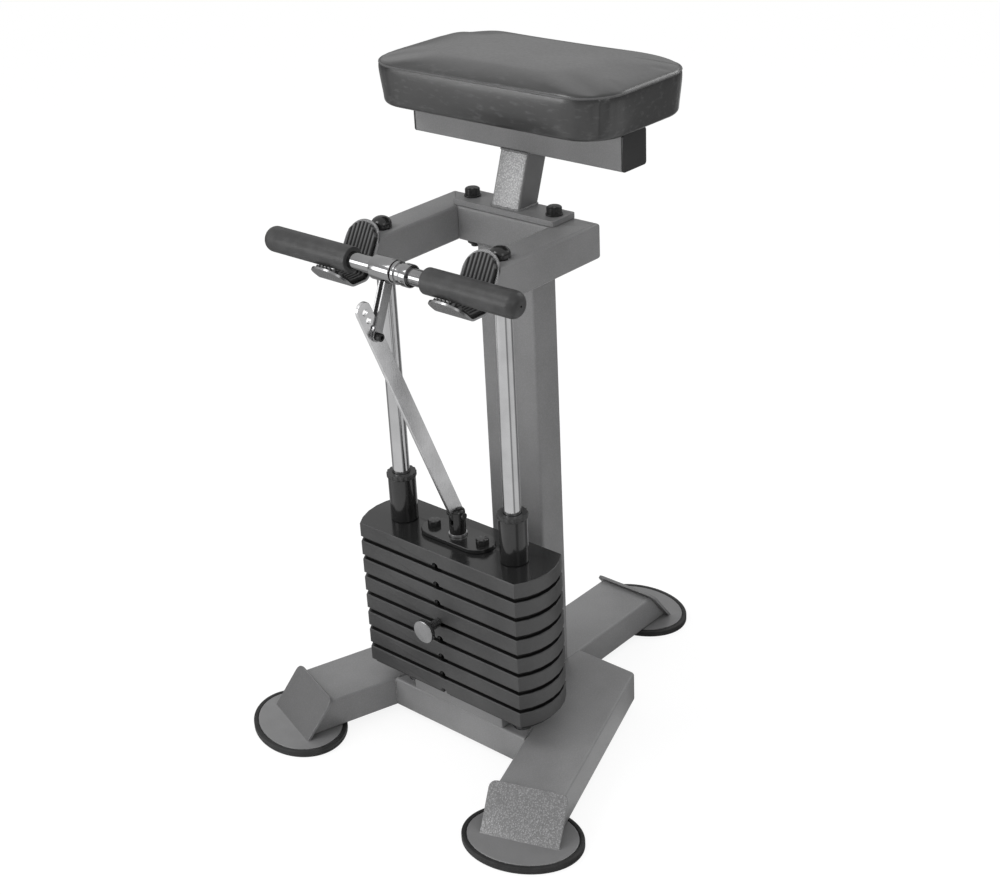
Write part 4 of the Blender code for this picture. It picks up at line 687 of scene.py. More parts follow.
def weldFrame():
    # beads along the joints, half sunk in the steel
    weld = {"side": 0.0042, "post": 0.0044, "sink": 0.001, "corner": 0.004, "half": 0.0245,
            "slantDepth": 0.0424, "slantLean": 19.3, "beamRun": 0.041, "splay": 19, "legInner": 0.114,
            "topHalf": 0.022, "rearHalf": 0.048, "endGap": 0.003, "topSink": 0.0006}
    parts = []
    half, sink = weld["half"], weld["sink"]
    _, front, z = lowOf("slanted_post")
    back = front + weld["slantDepth"]
    corners = [(-half, front + sink, z), (half, front + sink, z), (half, back, z), (-half, back, z)]
    parts.append(weldBead(softened(corners, weld["corner"], closed=True), weld["post"], closed=True))
    beam = lowOf("pad_beam")[2] - 0.0002
    top = front + math.tan(math.radians(weld["slantLean"])) * (beam - z)
    behind = top + weld["beamRun"]
    for start, end in (((-half, top), (-half, behind)), ((half, top), (half, behind)),
                       ((-half, top), (half, top))):
        parts.append(weldBead([(*start, beam), (*end, beam)], weld["side"], seed=3))
    low, high, _ = span("upright_post")
    (left, near), (right, far) = low[:2] + sink, high[:2] - sink
    for level in (low[2], high[2]):
        ring = [(left, near, level), (right, near, level), (right, far, level), (left, far, level)]
        ring = softened(ring, weld["corner"], closed=True)
        parts.append(weldBead(ring, weld["post"], seed=level, closed=True))
    piece("frame_welds", *joined(parts), "weld", "root", smooth=60)

    # base: across the joints between the cross tube and the legs, over the top and down the front
    parts = []
    (_, rear, low), (_, _, top), _ = span("base_leg_rear")
    splay = math.radians(weld["splay"])
    square = np.array([math.cos(splay), math.sin(splay)])
    run = np.array([math.sin(splay), -math.cos(splay)])
    inner = square * weld["legInner"]
    gap, upper = weld["endGap"], top - weld["topSink"]

    def meets(side, across):
        # where a line along the cross tube meets the leg's inner side
        spot = inner + run * ((across - inner[1]) / run[1])
        return side * spot[0], spot[1] + railY

    for side in (-1, 1):
        for across in (-half, half):
            place = meets(side, across)
            line = [(*place, low + gap), (*place, top - gap)]
            parts.append(weldBead(line, weld["side"], seed=across, up=(0, 1, 0)))
        line = [(*meets(side, across), upper) for across in (-weld["topHalf"], weld["topHalf"])]
        parts.append(weldBead(line, weld["side"], seed=side))
    # the rear leg against the cross tube
    line = [(-weld["rearHalf"], rear, upper), (weld["rearHalf"], rear, upper)]
    parts.append(weldBead(line, weld["side"], seed=5))
    piece("base_welds", *joined(parts), "weld", "root", smooth=60)


weldFrame()
print("frame finished")


# Feet: rubber rims with a moulded groove

def rubberFeet():
    foot = {"halfX": 0.088, "halfY": 0.068, "lip": 0.0026, "crest": 0.0052, "wall": 0.0068, "floor": 0.0052,
            "edge": 0.0012, "round": 0.0008, "count": 96}
    # the moulded groove: its depth at shares of the rim's height
    moulded = ((0, 0.38), (0.0009, 0.45), (0, 0.52))
    halfX, halfY, lip, wall, edge = (foot[key] for key in ("halfX", "halfY", "lip", "wall", "edge"))
    for side, heading in (("left", -19), ("right", 19), ("rear", 180)):
        node = "foot_rubber_" + side
        low, high, centre = span(node)
        height = high[2] - low[2]
        # profile across the rim: inset from the widest outline, and height
        corners = [(halfY, 0), (edge, 0), (0, edge), *((depth, height * share) for depth, share in moulded),
                   (0, height - lip / 2), (lip / 2, height), (foot["crest"], height),
                   (wall, height - foot["round"]), (wall, foot["floor"]), (halfY, foot["floor"])]
        profile = softened(corners, foot["round"], 4)
        angle = np.linspace(0, math.tau, foot["count"], endpoint=False)
        inset, z = profile[:, :1], profile[:, 1:]
        # the innermost rows meet in the middle
        apart = inset < halfY * 0.99
        x = (halfX - inset) * np.cos(angle) * apart
        y = (halfY - inset) * np.sin(angle) * apart
        turn = math.radians(heading)
        points = np.stack([x * math.cos(turn) - y * math.sin(turn) + centre[0],
                           x * math.sin(turn) + y * math.cos(turn) + centre[1],
                           np.broadcast_to(z + low[2], x.shape)], axis=-1)
        faces = gridFaces(len(profile), foot["count"])
        piece(node + "_rim", points, faces, "footRubber", "root", (node,), 50)


rubberFeet()


# Guide rods and their caps

def guideRods():
    rod = {"edge": 0.0010, "crown": 0.0022, "capGap": 0.0006, "capEdge": 0.0012, "capWall": 0.35}
    for side in ("left", "right"):
        node = "guide_rod_" + side
        low, high, centre = span(node)
        centre[2] = low[2]
        height = high[2] - low[2]
        radius = halfOf(node)[0]
        profile = softened([(0, 0), (0, radius), (height, radius), (height, 0)], rod["edge"], 4)
        turnedPiece(node + "_bright", profile, (0, 0, 1), centre, "chrome", "root", (node,), 72)
        start = high[2] + rod["capGap"]
        node = "rod_cap_" + side
        reach = highOf(node)[2] - start + rod["crown"]
        radius = halfOf(node)[0]
        turn = np.radians(np.linspace(0, 90, 14))
        rising = reach * rod["capWall"] + reach * (1 - rod["capWall"]) * np.sin(turn)
        dome = np.stack([rising, radius * np.cos(turn)], axis=1)
        foot = np.array([(0.0, 0.0), (0.0, radius - rod["capEdge"]), (rod["capEdge"], radius)])
        profile = np.concatenate([foot, dome])
        seat = (centre[0], centre[1], start)
        turnedPiece(node + "_dome", profile, (0, 0, 1), seat, "capPlastic", "root", (node,), 48)


guideRods()


# Weight stack

def dressStack():
    stem = {"bareRing": 0.0035}
    looks = {"top_plate": "topPlate", **{"weight_plate_%d" % number: "plate" for number in range(1, 8)}}
    for node, look in looks.items():
        level = float(lowOf(node)[2]) + groove["solid"]
        finished(node, look, 0.0008, 30, level, groove["worn"] - groove["solid"])
    finished("stack_rest", "grey", 0.0008, 30)
    finished("stem_flange", "enamel", 0.0008, 30)
    lacquer = float(highOf("stem_flange")[2]) + stem["bareRing"]
    finish["stem"] = (stemFinish(lacquer), "bright_steel")
    finished("selector_stem", "stem", 0.0003, 40)


dressStack()


def sleeves():
    sleeve = {"wall": 0.0052, "rimRound": 0.0012, "bushHead": 0.0065, "bushRound": 0.0007, "teeth": 16,
              "tooth": 0.0011, "steep": 2.2, "plainMouth": 0.0018, "fade": 0.002, "plainFoot": 0.0004,
              "rodGap": 0.0004, "spigotGap": 0.0003, "count": 160}
    for side in ("left", "right"):
        node = "guide_sleeve_" + side
        low, high, centre = span(node)
        centre[2] = low[2]
        outer = halfOf(node)[0]
        height = high[2] - low[2]
        inner = outer - sleeve["wall"]
        corners = [(0, inner), (0, outer), (height, outer), (height, inner)]
        profile = softened(corners, sleeve["rimRound"], 5, closed=True)
        turnedPiece(node + "_gloss", profile, (0, 0, 1), centre, "enamel", "carriage", (node,),
                    72, closed=True)

        node = "guide_bush_" + side
        low, high, _ = span(node)
        bore = halfOf("guide_rod_" + side)[0] + sleeve["rodGap"]
        spigot = inner - sleeve["spigotGap"]
        head = halfOf(node)[0]
        foot = high[2] - sleeve["bushHead"]
        depth = foot - low[2]
        top = sleeve["bushHead"]
        corners = [(-depth, bore), (-depth, spigot), (0, spigot), (0, head), (top, head), (top, bore)]
        profile = softened(corners, sleeve["bushRound"], 4, closed=True)

        # shallow flutes round the head, deepest at its outside, and matching notches in its mouth
        points = turned(profile, (0, 0, 1), (centre[0], centre[1], foot), sleeve["count"])
        flat = points[..., :2] - centre[:2]
        angle = np.arctan2(flat[..., 1], flat[..., 0])
        flute = np.clip(np.cos(sleeve["teeth"] * angle) * sleeve["steep"], -1, 1) / 2 - 0.5
        beyond = np.linalg.norm(flat, axis=-1) - (bore + sleeve["plainMouth"])
        share = np.clip(beyond / sleeve["fade"], 0, 1) * (points[..., 2] - foot > sleeve["plainFoot"])
        change = flute * sleeve["tooth"] * share
        points[..., :2] += unit(flat) * change[..., None]
        faces = gridFaces(len(profile), sleeve["count"], wrapRows=True)
        piece(node + "_fluted", points, faces, "nylon", "carriage", (node,), 35)


sleeves()


def selectorPin():
    pin = {"headThick": 0.008, "neck": 0.0065, "neckEnd": 0.034, "step": 0.0003, "shaft": 0.00475,
           "tipLength": 0.0015, "tip": 0.0032}
    # one for each corner of the profile
    rounding = [0, 0.0016, 0.0016, 0.0008, 0.0004, 0.0002, 0.0006, 0.0004, 0]
    node = "selector_pin"
    low, high, _ = span(node)
    centre = (0, low[1], (low[2] + high[2]) / 2)
    head = halfOf(node)[2]
    length = high[1] - low[1]
    thick, neck, shaft = pin["headThick"], pin["neck"], pin["shaft"]
    corners = [(0, 0), (0, head), (thick, head), (thick, neck), (pin["neckEnd"], neck),
               (pin["neckEnd"] + pin["step"], shaft), (length - pin["tipLength"], shaft),
               (length, pin["tip"]), (length, 0)]
    profile = softened(corners, rounding, 5)
    turnedPiece(node + "_polished", profile, (0, 1, 0), centre, "pin", "pin", (node,), 64)


selectorPin()
print("stack finished")


# Fasteners

def hexHead(centre, way, across, height, spin=0.0):
    # a hexagon whose radius follows its flats, cut by a shallow cone at the crown
    head = {"shoulder": 0.80, "cut": 0.93, "cutReach": 0.535, "topReach": 0.47, "count": 72}
    angle = np.linspace(0, math.tau, head["count"], endpoint=False)
    lean = (angle + spin + math.pi / 6) % (math.pi / 3) - math.pi / 6
    flat = across / 2 / np.cos(lean)
    # each row's height, and how far out it may reach as a share of the width across the flats
    rows = [(0, 0), (0, np.inf), (height * head["shoulder"], np.inf),
            (height * head["cut"], head["cutReach"]), (height, head["topReach"]), (height, 0)]
    along = np.array([row[0] for row in rows])[:, None]
    limit = np.array([row[1] for row in rows])[:, None] * across
    radius = np.minimum(flat[None, :], limit)
    way = np.asarray(way, float)
    side = unit(np.cross(way, (1.0, 0.0, 0.0) if abs(way[0]) < 0.9 else (0.0, 0.0, 1.0)))
    other = np.cross(way, side)
    ring = side * np.cos(angle)[:, None] + other * np.sin(angle)[:, None]
    points = np.asarray(centre, float) + along[..., None] * way + radius[..., None] * ring
    return points, gridFaces(len(rows), head["count"])


def roundPart(profile, way, centre, count=40):
    points = turned(profile, way, centre, count)
    return points, gridFaces(len(points), count)


def fasteners():
    bolt = {"across": 0.0186, "washer": 0.012, "washerThick": 0.0024, "nut": 0.0096, "shank": 0.006,
            "thread": 0.0059, "threadEnd": 0.0048, "flangeAcross": 0.017, "flangeShank": 0.005, "gap": 0.0003}
    up, down = (0, 0, 1), (0, 0, -1)
    across, washer, thick = bolt["across"], bolt["washer"], bolt["washerThick"]
    for side in ("left", "right"):
        node = "mount_bolt_" + side
        low, high, (x, y, _) = span(node)
        seat = highOf("pad_mount_plate")[2] + bolt["gap"]
        ring = softened([(0, 0), (0, washer), (thick, washer), (thick, 0)], 0.0006)
        nutTop = lowOf("yoke_cross_tube")[2] - bolt["gap"]
        end, rise = nutTop - low[2], seat - nutTop
        thread = [(0, bolt["thread"]), (bolt["nut"] + 0.004, bolt["thread"]),
                  (end, bolt["threadEnd"]), (end, 0)]
        shank = [(0, 0.0), (0, bolt["shank"]), (rise, bolt["shank"]), (rise, 0)]
        parts = [roundPart(ring, up, (x, y, seat)),
                 hexHead((x, y, seat + thick), up, across, high[2] - seat - thick, 0.3),
                 hexHead((x, y, nutTop), down, across, bolt["nut"], 0.9),
                 roundPart(softened(thread, 0.0006), down, (x, y, nutTop)),
                 roundPart(shank, up, (x, y, nutTop))]
        piece(node + "_hex", *joined(parts), "oxide", "root", (node,), 32)

        node = "flange_bolt_" + side
        low, high, (x, y, _) = span(node)
        seat = highOf("stem_flange")[2] + bolt["gap"]
        depth, wide = low[2] - seat, bolt["flangeShank"]
        parts = [hexHead((x, y, seat), up, bolt["flangeAcross"], high[2] - seat, 0.5),
                 roundPart([(depth, 0), (depth, wide), (0, wide), (0, 0)], up, (x, y, seat))]
        piece(node + "_hex", *joined(parts), "enamel", "carriage", (node,), 32)
    finished("fork_bolt", "oxide", 0.0003, 30)
    finished("clevis_pin", "oxide", 0.0005, 30)


fasteners()


# Link, fork and handlebar

def linkage():
    finished("link_bar", "link", 0.0003, 30)
    for side in ("left", "right"):
        finished("fork_strip_" + side, "strip", 0.0006, 30)
    hub = {"wall": 0.0045, "edge": 0.0012}
    node = "hub_sleeve"
    half, _, outer = halfOf(node)
    bore = outer - hub["wall"]
    corners = [(-half, bore), (-half, outer), (half, outer), (half, bore)]
    profile = softened(corners, hub["edge"], 5, closed=True)
    turnedPiece(node + "_polished", profile, (1, 0, 0), centreOf(node), "barChrome", "fork", (node,),
                72, closed=True)


linkage()


def handlebar():
    bar = {"wall": 0.0025, "gap": 0.0003, "collarRing": 0.006, "collarNeck": 0.0085, "neckWall": 0.0018,
           "mouth": 0.0016, "tip": 0.0125, "vent": 0.0016, "bareLeft": 0.006, "bareRight": 0.010}
    centre = centreOf("handlebar")
    half, _, radius = halfOf("handlebar")
    inside = radius - bar["wall"]

    def onBar(name, profile, look, node, way=1):
        turnedPiece(name, profile, (way, 0, 0), centre, look, "handlebar", (node,), 72, closed=True)

    profile = [(-half, inside), (-half, radius), (half, radius), (half, inside)]
    onBar("handlebar_bright", profile, "barChrome", "handlebar")

    low, high, _ = span("hub_collar")
    wide = halfOf("hub_collar")[2]
    inner = radius + bar["gap"]
    neck = inner + bar["neckWall"]
    a = low[0] - centre[0]
    b = a + bar["collarRing"]
    c, d = b + bar["collarNeck"], a + (high[0] - low[0])
    corners = [(a, inner), (a, wide), (b, wide), (b, neck), (c, neck), (c, wide), (d, wide), (d, inner)]
    rounding = [0.0002, 0.0012, 0.0012, 0.0006, 0.0006, 0.0012, 0.0012, 0.0002]
    onBar("hub_collar_polished", softened(corners, rounding, 5, closed=True), "barChrome", "hub_collar")

    for side, sign, bare in (("left", -1, bar["bareLeft"]), ("right", 1, bar["bareRight"])):
        node = "grip_" + side
        low, high, _ = span(node)
        outer = halfOf(node)[2]
        near, end = sorted((abs(low[0]), abs(high[0])))
        mouth = near + bare
        rest = half + bar["gap"]
        tip, brim = bar["tip"], outer - 0.0002
        turn = np.radians(np.linspace(0, 90, 12))
        dome = np.stack([end - tip + tip * np.sin(turn), outer - tip + tip * np.cos(turn)], axis=1)
        start = softened([(mouth, inner), (mouth, brim), (mouth + 0.03, brim)], bar["mouth"], 5)
        hollow = np.array([(end, bar["vent"]), (rest, bar["vent"]), (rest, inner)])
        onBar(node + "_soft", np.concatenate([start[:-1], dome, hollow]), "grip", node, sign)


handlebar()
print("handlebar finished")


# Cradles: a bent zinc plate with a ribbed rubber liner

def cradles():
    cradle = {"width": 0.060, "sheet": 0.003, "bend": 0.009, "lipRise": 45, "floor": 0.039, "lean": 30,
              "standoff": 0.026, "lip": 0.0426, "back": 0.0800, "lipCorner": 0.026, "linerWidth": 0.052,
              "linerBase": 0.003, "rib": 0.002, "ribs": 8, "ribSteps": 12, "flat": 0.9, "inset": 0.004,
              "gap": 0.0003, "columns": 41, "lipRows": 9, "frontRows": 7, "rearRows": 8, "backRows": 13}
    grip = halfOf("grip_left")[2]
    bar = centreOf("handlebar")
    rise, lean = math.radians(cradle["lipRise"]), math.radians(cradle["lean"])
    under = grip + cradle["linerBase"] + cradle["rib"]
    # three flat faces, each given by its normal and its level: the lip, the level floor and the back
    faces = {"lip": np.array([math.sin(rise), math.cos(rise)]), "floor": np.array([0.0, 1.0]),
             "back": np.array([-math.cos(lean), math.sin(lean)])}
    levels = {"lip": -(under + cradle["gap"]), "floor": -cradle["floor"],
              "back": -(under + cradle["standoff"])}
    bend = cradle["bend"]

    def meeting(first, second):
        # the middle of the bend between two faces, one bend radius off both
        normals = np.array([faces[first], faces[second]])
        return np.linalg.solve(normals, np.array([levels[first], levels[second]]) + bend)

    front, rear = meeting("lip", "floor"), meeting("floor", "back")
    lipOut = np.array([-math.cos(rise), math.sin(rise)])
    backOut = np.array([math.sin(lean), math.cos(lean)])

    def bendRows(middle, first, second, off, count):
        # a radius turned in equal steps from one face's normal to the next one's
        start = faces[first]
        angle = np.linspace(0, math.acos(start @ faces[second]), count)
        turn = np.stack([start[0] * np.cos(angle) - start[1] * np.sin(angle),
                         start[0] * np.sin(angle) + start[1] * np.cos(angle)], axis=1)
        return middle - turn[None] * off

    def surface(x, height, halfWidth, inset, corner):
        # rows run from the lip's tip, over the floor, to the top; each column stops at the outline
        lipEnd = cradle["lip"] - inset - bend
        backEnd = cradle["back"] - inset - bend
        reach = np.maximum(np.abs(x) - (halfWidth - corner), 0)
        short = corner - np.sqrt(np.maximum(corner ** 2 - reach ** 2, 0))
        lobe = halfWidth * np.sqrt(np.maximum(1 - (x / halfWidth) ** 2, 0))
        lip = (lipEnd - short)[:, None] * np.linspace(1, 0, cradle["lipRows"])[None, :-1]
        back = (backEnd - halfWidth + lobe)[:, None] * np.linspace(0, 1, cradle["backRows"])[None, 1:]
        off = bend - height[:, None, None]
        lipRows = front - faces["lip"] * off + lip[..., None] * lipOut
        backRows = rear - faces["back"] * off + back[..., None] * backOut
        side = np.concatenate([lipRows, bendRows(front, "lip", "floor", off, cradle["frontRows"]),
                               bendRows(rear, "floor", "back", off, cradle["rearRows"]), backRows], axis=1)
        return np.concatenate([np.broadcast_to(x[:, None, None], (*side.shape[:2], 1)), side], axis=2)

    def bentShell(x, high, low, halfWidth, inset, corner):
        top = surface(x, high, halfWidth, inset, corner)
        bottom = surface(x, low, halfWidth, inset, corner)
        columns, rows = top.shape[:2]
        quads = gridFaces(columns, rows, wrapColumns=False)
        count = columns * rows
        shell = quads.tolist() + (quads[:, ::-1] + count).tolist()
        index = np.arange(count).reshape(columns, rows)
        rim = np.concatenate([index[:, 0], index[-1, 1:], index[-2::-1, -1], index[0, -2:0:-1]])
        after = np.roll(rim, -1)
        shell += np.stack([rim, after, after + count, rim + count], axis=1).tolist()
        return np.concatenate([top.reshape(-1, 3), bottom.reshape(-1, 3)]), shell

    half = cradle["width"] / 2
    columns = half * np.sin(np.radians(np.linspace(-90, 90, cradle["columns"])))
    thick = np.zeros(cradle["columns"])
    linerHalf = cradle["linerWidth"] / 2
    pitch = cradle["linerWidth"] / cradle["ribs"]
    fine = np.linspace(-linerHalf, linerHalf, cradle["ribs"] * cradle["ribSteps"] + 1)
    phase = (fine + linerHalf) / pitch * math.tau
    # rounded ribs with narrow grooves between them
    ribs = cradle["linerBase"] + cradle["rib"] * np.clip(0.5 - cradle["flat"] * np.cos(phase), 0, 1)
    for side, sign in (("left", -1), ("right", 1)):
        place = np.array([sign * rodX, bar[1], bar[2]])
        points, shell = bentShell(columns, thick, thick - cradle["sheet"], half, 0, cradle["lipCorner"])
        node = "cradle_" + side
        piece(node + "_bent", points + place, shell, "sheet", "root", (node,), 45, 0.0005)
        points, shell = bentShell(fine, ribs, np.full(len(fine), cradle["gap"]), linerHalf, cradle["inset"],
                                  cradle["lipCorner"] - cradle["inset"])
        look = "liner" + side.capitalize()
        finish[look] = (linerRubber(look + "Rubber", float(sign * rodX - linerHalf), pitch), "foot_rubber")
        node = "cradle_liner_" + side
        piece(node + "_ribbed", points + place, shell, look, "root", (node,), 50)


cradles()
print("cradles finished")


# Pad: board, cushion and piping

padSize = {"length": 0.408, "depth": 0.220, "corner": 0.060, "leastCorner": 0.012}
padHalfX, padHalfY = padSize["length"] / 2, padSize["depth"] / 2


def padOutline(inset, count):
    # a rounded rectangle sampled in four equal counts, each from the middle of a corner to the next
    corner = max(padSize["corner"] - inset, padSize["leastCorner"])
    halfX, halfY = padHalfX - inset, padHalfY - inset
    steps = 25
    angle = np.radians(np.linspace(0, 90, steps))
    arcs = []
    for sx, sy, start in ((1, 1, 0), (-1, 1, 90), (-1, -1, 180), (1, -1, 270)):
        turn = angle + math.radians(start)
        arcs.append(np.stack([sx * (halfX - corner) + corner * np.cos(turn),
                              sy * (halfY - corner) + corner * np.sin(turn)], axis=1))
    line = np.concatenate(arcs + [arcs[0]])
    run = np.concatenate([[0], np.cumsum(np.linalg.norm(np.diff(line, axis=0), axis=1))])
    middles = run[steps // 2::steps]
    share = np.linspace(0, 1, count, endpoint=False)
    stations = np.concatenate([middles[k] + (middles[k + 1] - middles[k]) * share for k in range(4)])
    return np.stack([np.interp(stations, run, line[:, 0]), np.interp(stations, run, line[:, 1])], axis=1)


def panelGrid(count):
    # a square grid whose rings keep the outline's order: each point's ring, and its place round the ring
    steps = np.linspace(-1, 1, count + 1)
    a, b = np.meshgrid(steps, steps, indexing="ij")
    ring = np.maximum(np.abs(a), np.abs(b))
    safe = np.maximum(ring, 1e-9)
    u, v = a / safe, b / safe
    # sides in the outline's order: top (v = 1) from right to left, left, bottom, right
    place = np.where(v >= 1 - 1e-9, (1 - u) / 2, np.where(u <= -1 + 1e-9, 1 + (1 - v) / 2,
                     np.where(v <= -1 + 1e-9, 2 + (1 + u) / 2, 3 + (1 + v) / 2)))
    return ring, place % 4


def pointsOf(mesh):
    rows = np.zeros(len(mesh.vertices) * 3)
    mesh.vertices.foreach_get("co", rows)
    return rows.reshape(-1, 3)


def makePad():
    pad = {"wall": 0.061, "crown": 0.0140, "dome": 5, "crowd": 1.5, "ease": 16, "tuck": 0.006,
           "leanPower": 1.3, "bottomWall": 0.023, "board": 0.012, "seam": 0.0014, "edge": 0.007,
           "drop": 0.0042, "under": 0.006, "piping": 0.0015, "pucker": 0.0024, "gap": 0.0006, "count": 48}
    stuffing = {"pressure": 2.5, "stiffness": 30, "bending": 2, "quality": 6, "frames": 20, "cap": 0.003}
    node = "forearm_pad"
    low, high, _ = span(node)
    middle = np.array([0.0, (low[1] + high[1]) / 2])
    floor = low[2]
    count = pad["count"]
    ring, place = panelGrid(count)
    around = np.arange(4 * count + 1) / count

    def shrunk(inset):
        return padOutline(inset, count)

    def spread(loop):
        # an outline read off at every place round a panel
        return [np.interp(place, around, np.append(loop[:, axis], loop[0, axis])) for axis in (0, 1)]

    unitX, unitY = spread(shrunk(0.0))

    # top panel: outline scaled by its ring, on a crown that rises fast from the seam
    seam = pad["seam"]
    scaleX = (padHalfX - seam) / padHalfX
    scaleY = (padHalfY - seam) / padHalfY
    near = 1 - (1 - ring) ** pad["crowd"]   # the rings crowd together towards the seam
    rise = pad["crown"] * (1 - near ** pad["dome"]) ** 0.5
    # each height drifts to the mean of its neighbours, which eases the creases along the diagonals
    free = np.clip((0.96 - ring) / 0.15, 0, 1)
    for _ in range(pad["ease"]):
        wide = np.pad(rise, 1, mode="edge")
        mean = (wide[2:, 1:-1] + wide[:-2, 1:-1] + wide[1:-1, 2:] + wide[1:-1, :-2]) / 4
        rise = rise + (mean - rise) * free
    top = np.stack([unitX * near * scaleX, unitY * near * scaleY, pad["wall"] + rise], axis=-1)
    # side band: a nearly upright wall that leans in evenly, then a quarter turn into the underside
    share = np.array([0.97, 0.93, 0.86, 0.76, 0.65, 0.54, 0.43, 0.33, 0.25])
    lean = pad["tuck"] * (1 - share) ** pad["leanPower"] + seam * np.clip((share - 0.80) / 0.20, 0, 1) ** 2
    height = pad["wall"] * share
    quarter = np.radians(np.linspace(15, 90, 6))
    turnedIn = lean[-1] + pad["edge"] * (1 - np.cos(quarter))
    turnedDown = pad["drop"] + pad["edge"] * (1 - np.sin(quarter))
    level = np.concatenate([height, turnedDown, [pad["drop"] * 0.62, pad["drop"] * 0.25]])
    inset = np.concatenate([lean, turnedIn, [turnedIn[-1] + pad["under"], turnedIn[-1] + 2 * pad["under"]]])
    band = np.stack([np.column_stack([shrunk(side), np.full(4 * count, z)]) for z, side in zip(level, inset)])
    # underside: in to the board, up beside it, and a closed floor over it
    under = shrunk(pad["tuck"] + pad["bottomWall"] - pad["gap"])
    roof = pad["board"] + pad["gap"]
    lip = np.column_stack([under, np.zeros(4 * count)])
    wall = np.column_stack([under, np.full(4 * count, roof)])
    bottomX, bottomY = spread(under)
    bottom = np.stack([bottomX * ring, bottomY * ring, np.full(ring.shape, roof)], axis=-1)

    size = count + 1
    grid = np.arange(size * size).reshape(size, size)
    # border indices of a panel in the outline's order
    edge = np.concatenate([grid[::-1, -1][:-1], grid[0, ::-1][:-1], grid[:, 0][:-1], grid[-1, :][:-1]])
    points = [top.reshape(-1, 3)]
    faces = gridFaces(size, size, wrapColumns=False).tolist()
    previous = edge
    start = size * size
    for loop in [*band, lip, wall]:
        index = start + np.arange(4 * count)
        points.append(loop)
        after = np.roll(previous, -1)
        here = np.roll(index, -1)
        faces += np.stack([previous, index, here, after], axis=1).tolist()
        previous = index
        start += 4 * count
    points.append(bottom.reshape(-1, 3))
    lowEdge = edge + start
    faces += np.stack([previous, lowEdge, np.roll(lowEdge, -1), np.roll(previous, -1)], axis=1).tolist()
    faces += (gridFaces(size, size, wrapColumns=False)[:, ::-1] + start).tolist()
    points = np.concatenate(points) + np.array([middle[0], middle[1], floor])

    cushion = piece("pad_cushion", points, faces, "vinyl", "root", (node,), 60)

    mesh = cushion.data
    start = pointsOf(mesh)
    height = (start[:, 2] - floor) / pad["wall"]
    # the seam and everything at the underside stay where the maker stapled them
    local = np.abs(start[:, :2] - middle)
    held = np.clip(1 - np.abs(height - 1) / 0.07, 0, 1) * (start[:, 2] < floor + pad["wall"] + 0.0005)
    held = np.maximum(held, np.clip((0.16 - height) / 0.1, 0, 1))
    held = np.maximum(held, (height <= 0.21) & (local[:, 0] < 0.17) & (local[:, 1] < 0.08))
    group = cushion.vertex_groups.new(name="held")
    levels = np.round(held, 2)
    for level in np.unique(levels):
        if level > 0:
            group.add(np.nonzero(levels == level)[0].tolist(), float(level), "REPLACE")
    cloth = cushion.modifiers.new("stuffing", "CLOTH")
    cloth.settings.use_pressure = True
    cloth.settings.uniform_pressure_force = stuffing["pressure"]
    cloth.settings.quality = stuffing["quality"]
    cloth.settings.tension_stiffness = stuffing["stiffness"]
    cloth.settings.compression_stiffness = stuffing["stiffness"]
    cloth.settings.bending_stiffness = stuffing["bending"]
    cloth.settings.vertex_group_mass = "held"
    cloth.settings.effector_weights.gravity = 0
    cloth.collision_settings.use_collision = False
    scene = bpy.context.scene
    for number in range(stuffing["frames"]):
        scene.frame_set(number + 1)
    shaped = cushion.evaluated_get(bpy.context.evaluated_depsgraph_get())
    move = pointsOf(shaped.data) - start
    cushion.modifiers.remove(cloth)
    scene.frame_set(1)
    reach = np.linalg.norm(move, axis=1, keepdims=True)
    move *= np.minimum(1, stuffing["cap"] / np.maximum(reach, 1e-9))
    print("pad swelled by up to %.1f mm" % (1000 * reach.max()))
    start = start + move
    # puckers: shallow upright folds in the band, strongest at the corners and under the seam
    flat = start[:, :2] - middle
    outX, outY = np.abs(flat).T
    corner = np.clip((outX - 0.135) / 0.05, 0, 1) * np.clip((outY - 0.05) / 0.045, 0, 1)
    angle = np.arctan2(flat[:, 1] / padHalfY, flat[:, 0] / padHalfX)
    side = np.clip(height, 0, 1) * (height < 0.98) * (height > 0.22)
    fold = waves(angle, (78, 0, 0.6), (131, 1.3, 0.4))
    start[:, :2] += unit(flat) * (fold * corner * side * pad["pucker"])[:, None]
    mesh.vertices.foreach_set("co", start.ravel())
    mesh.update()
    soft = cushion.modifiers.new("smooth", "SUBSURF")
    soft.levels = 1
    soft.render_levels = 1

    # piping along the seam, sitting half in the joint
    loop = np.column_stack([shrunk(seam), np.full(4 * count, floor + pad["wall"] - 0.0002)])
    loop[:, :2] += middle
    step = np.arange(len(loop))
    wander = 1 + waves(step, (1.7, 0, 0.05), (0.43, 0, 0.04))
    grid = sweep(loop, circleSection(pad["piping"], 12), True, wander)
    piece("pad_piping", grid, capped(grid, True), "piping", "root", smooth=70)
    finished("pad_board", "board", 0.0006, 30)
    for side in ("left", "right"):
        finished("pad_beam_cap_" + side, "plastic", 0.0009, 30)


makePad()
print("pad finished")


# Floor, lamps and world

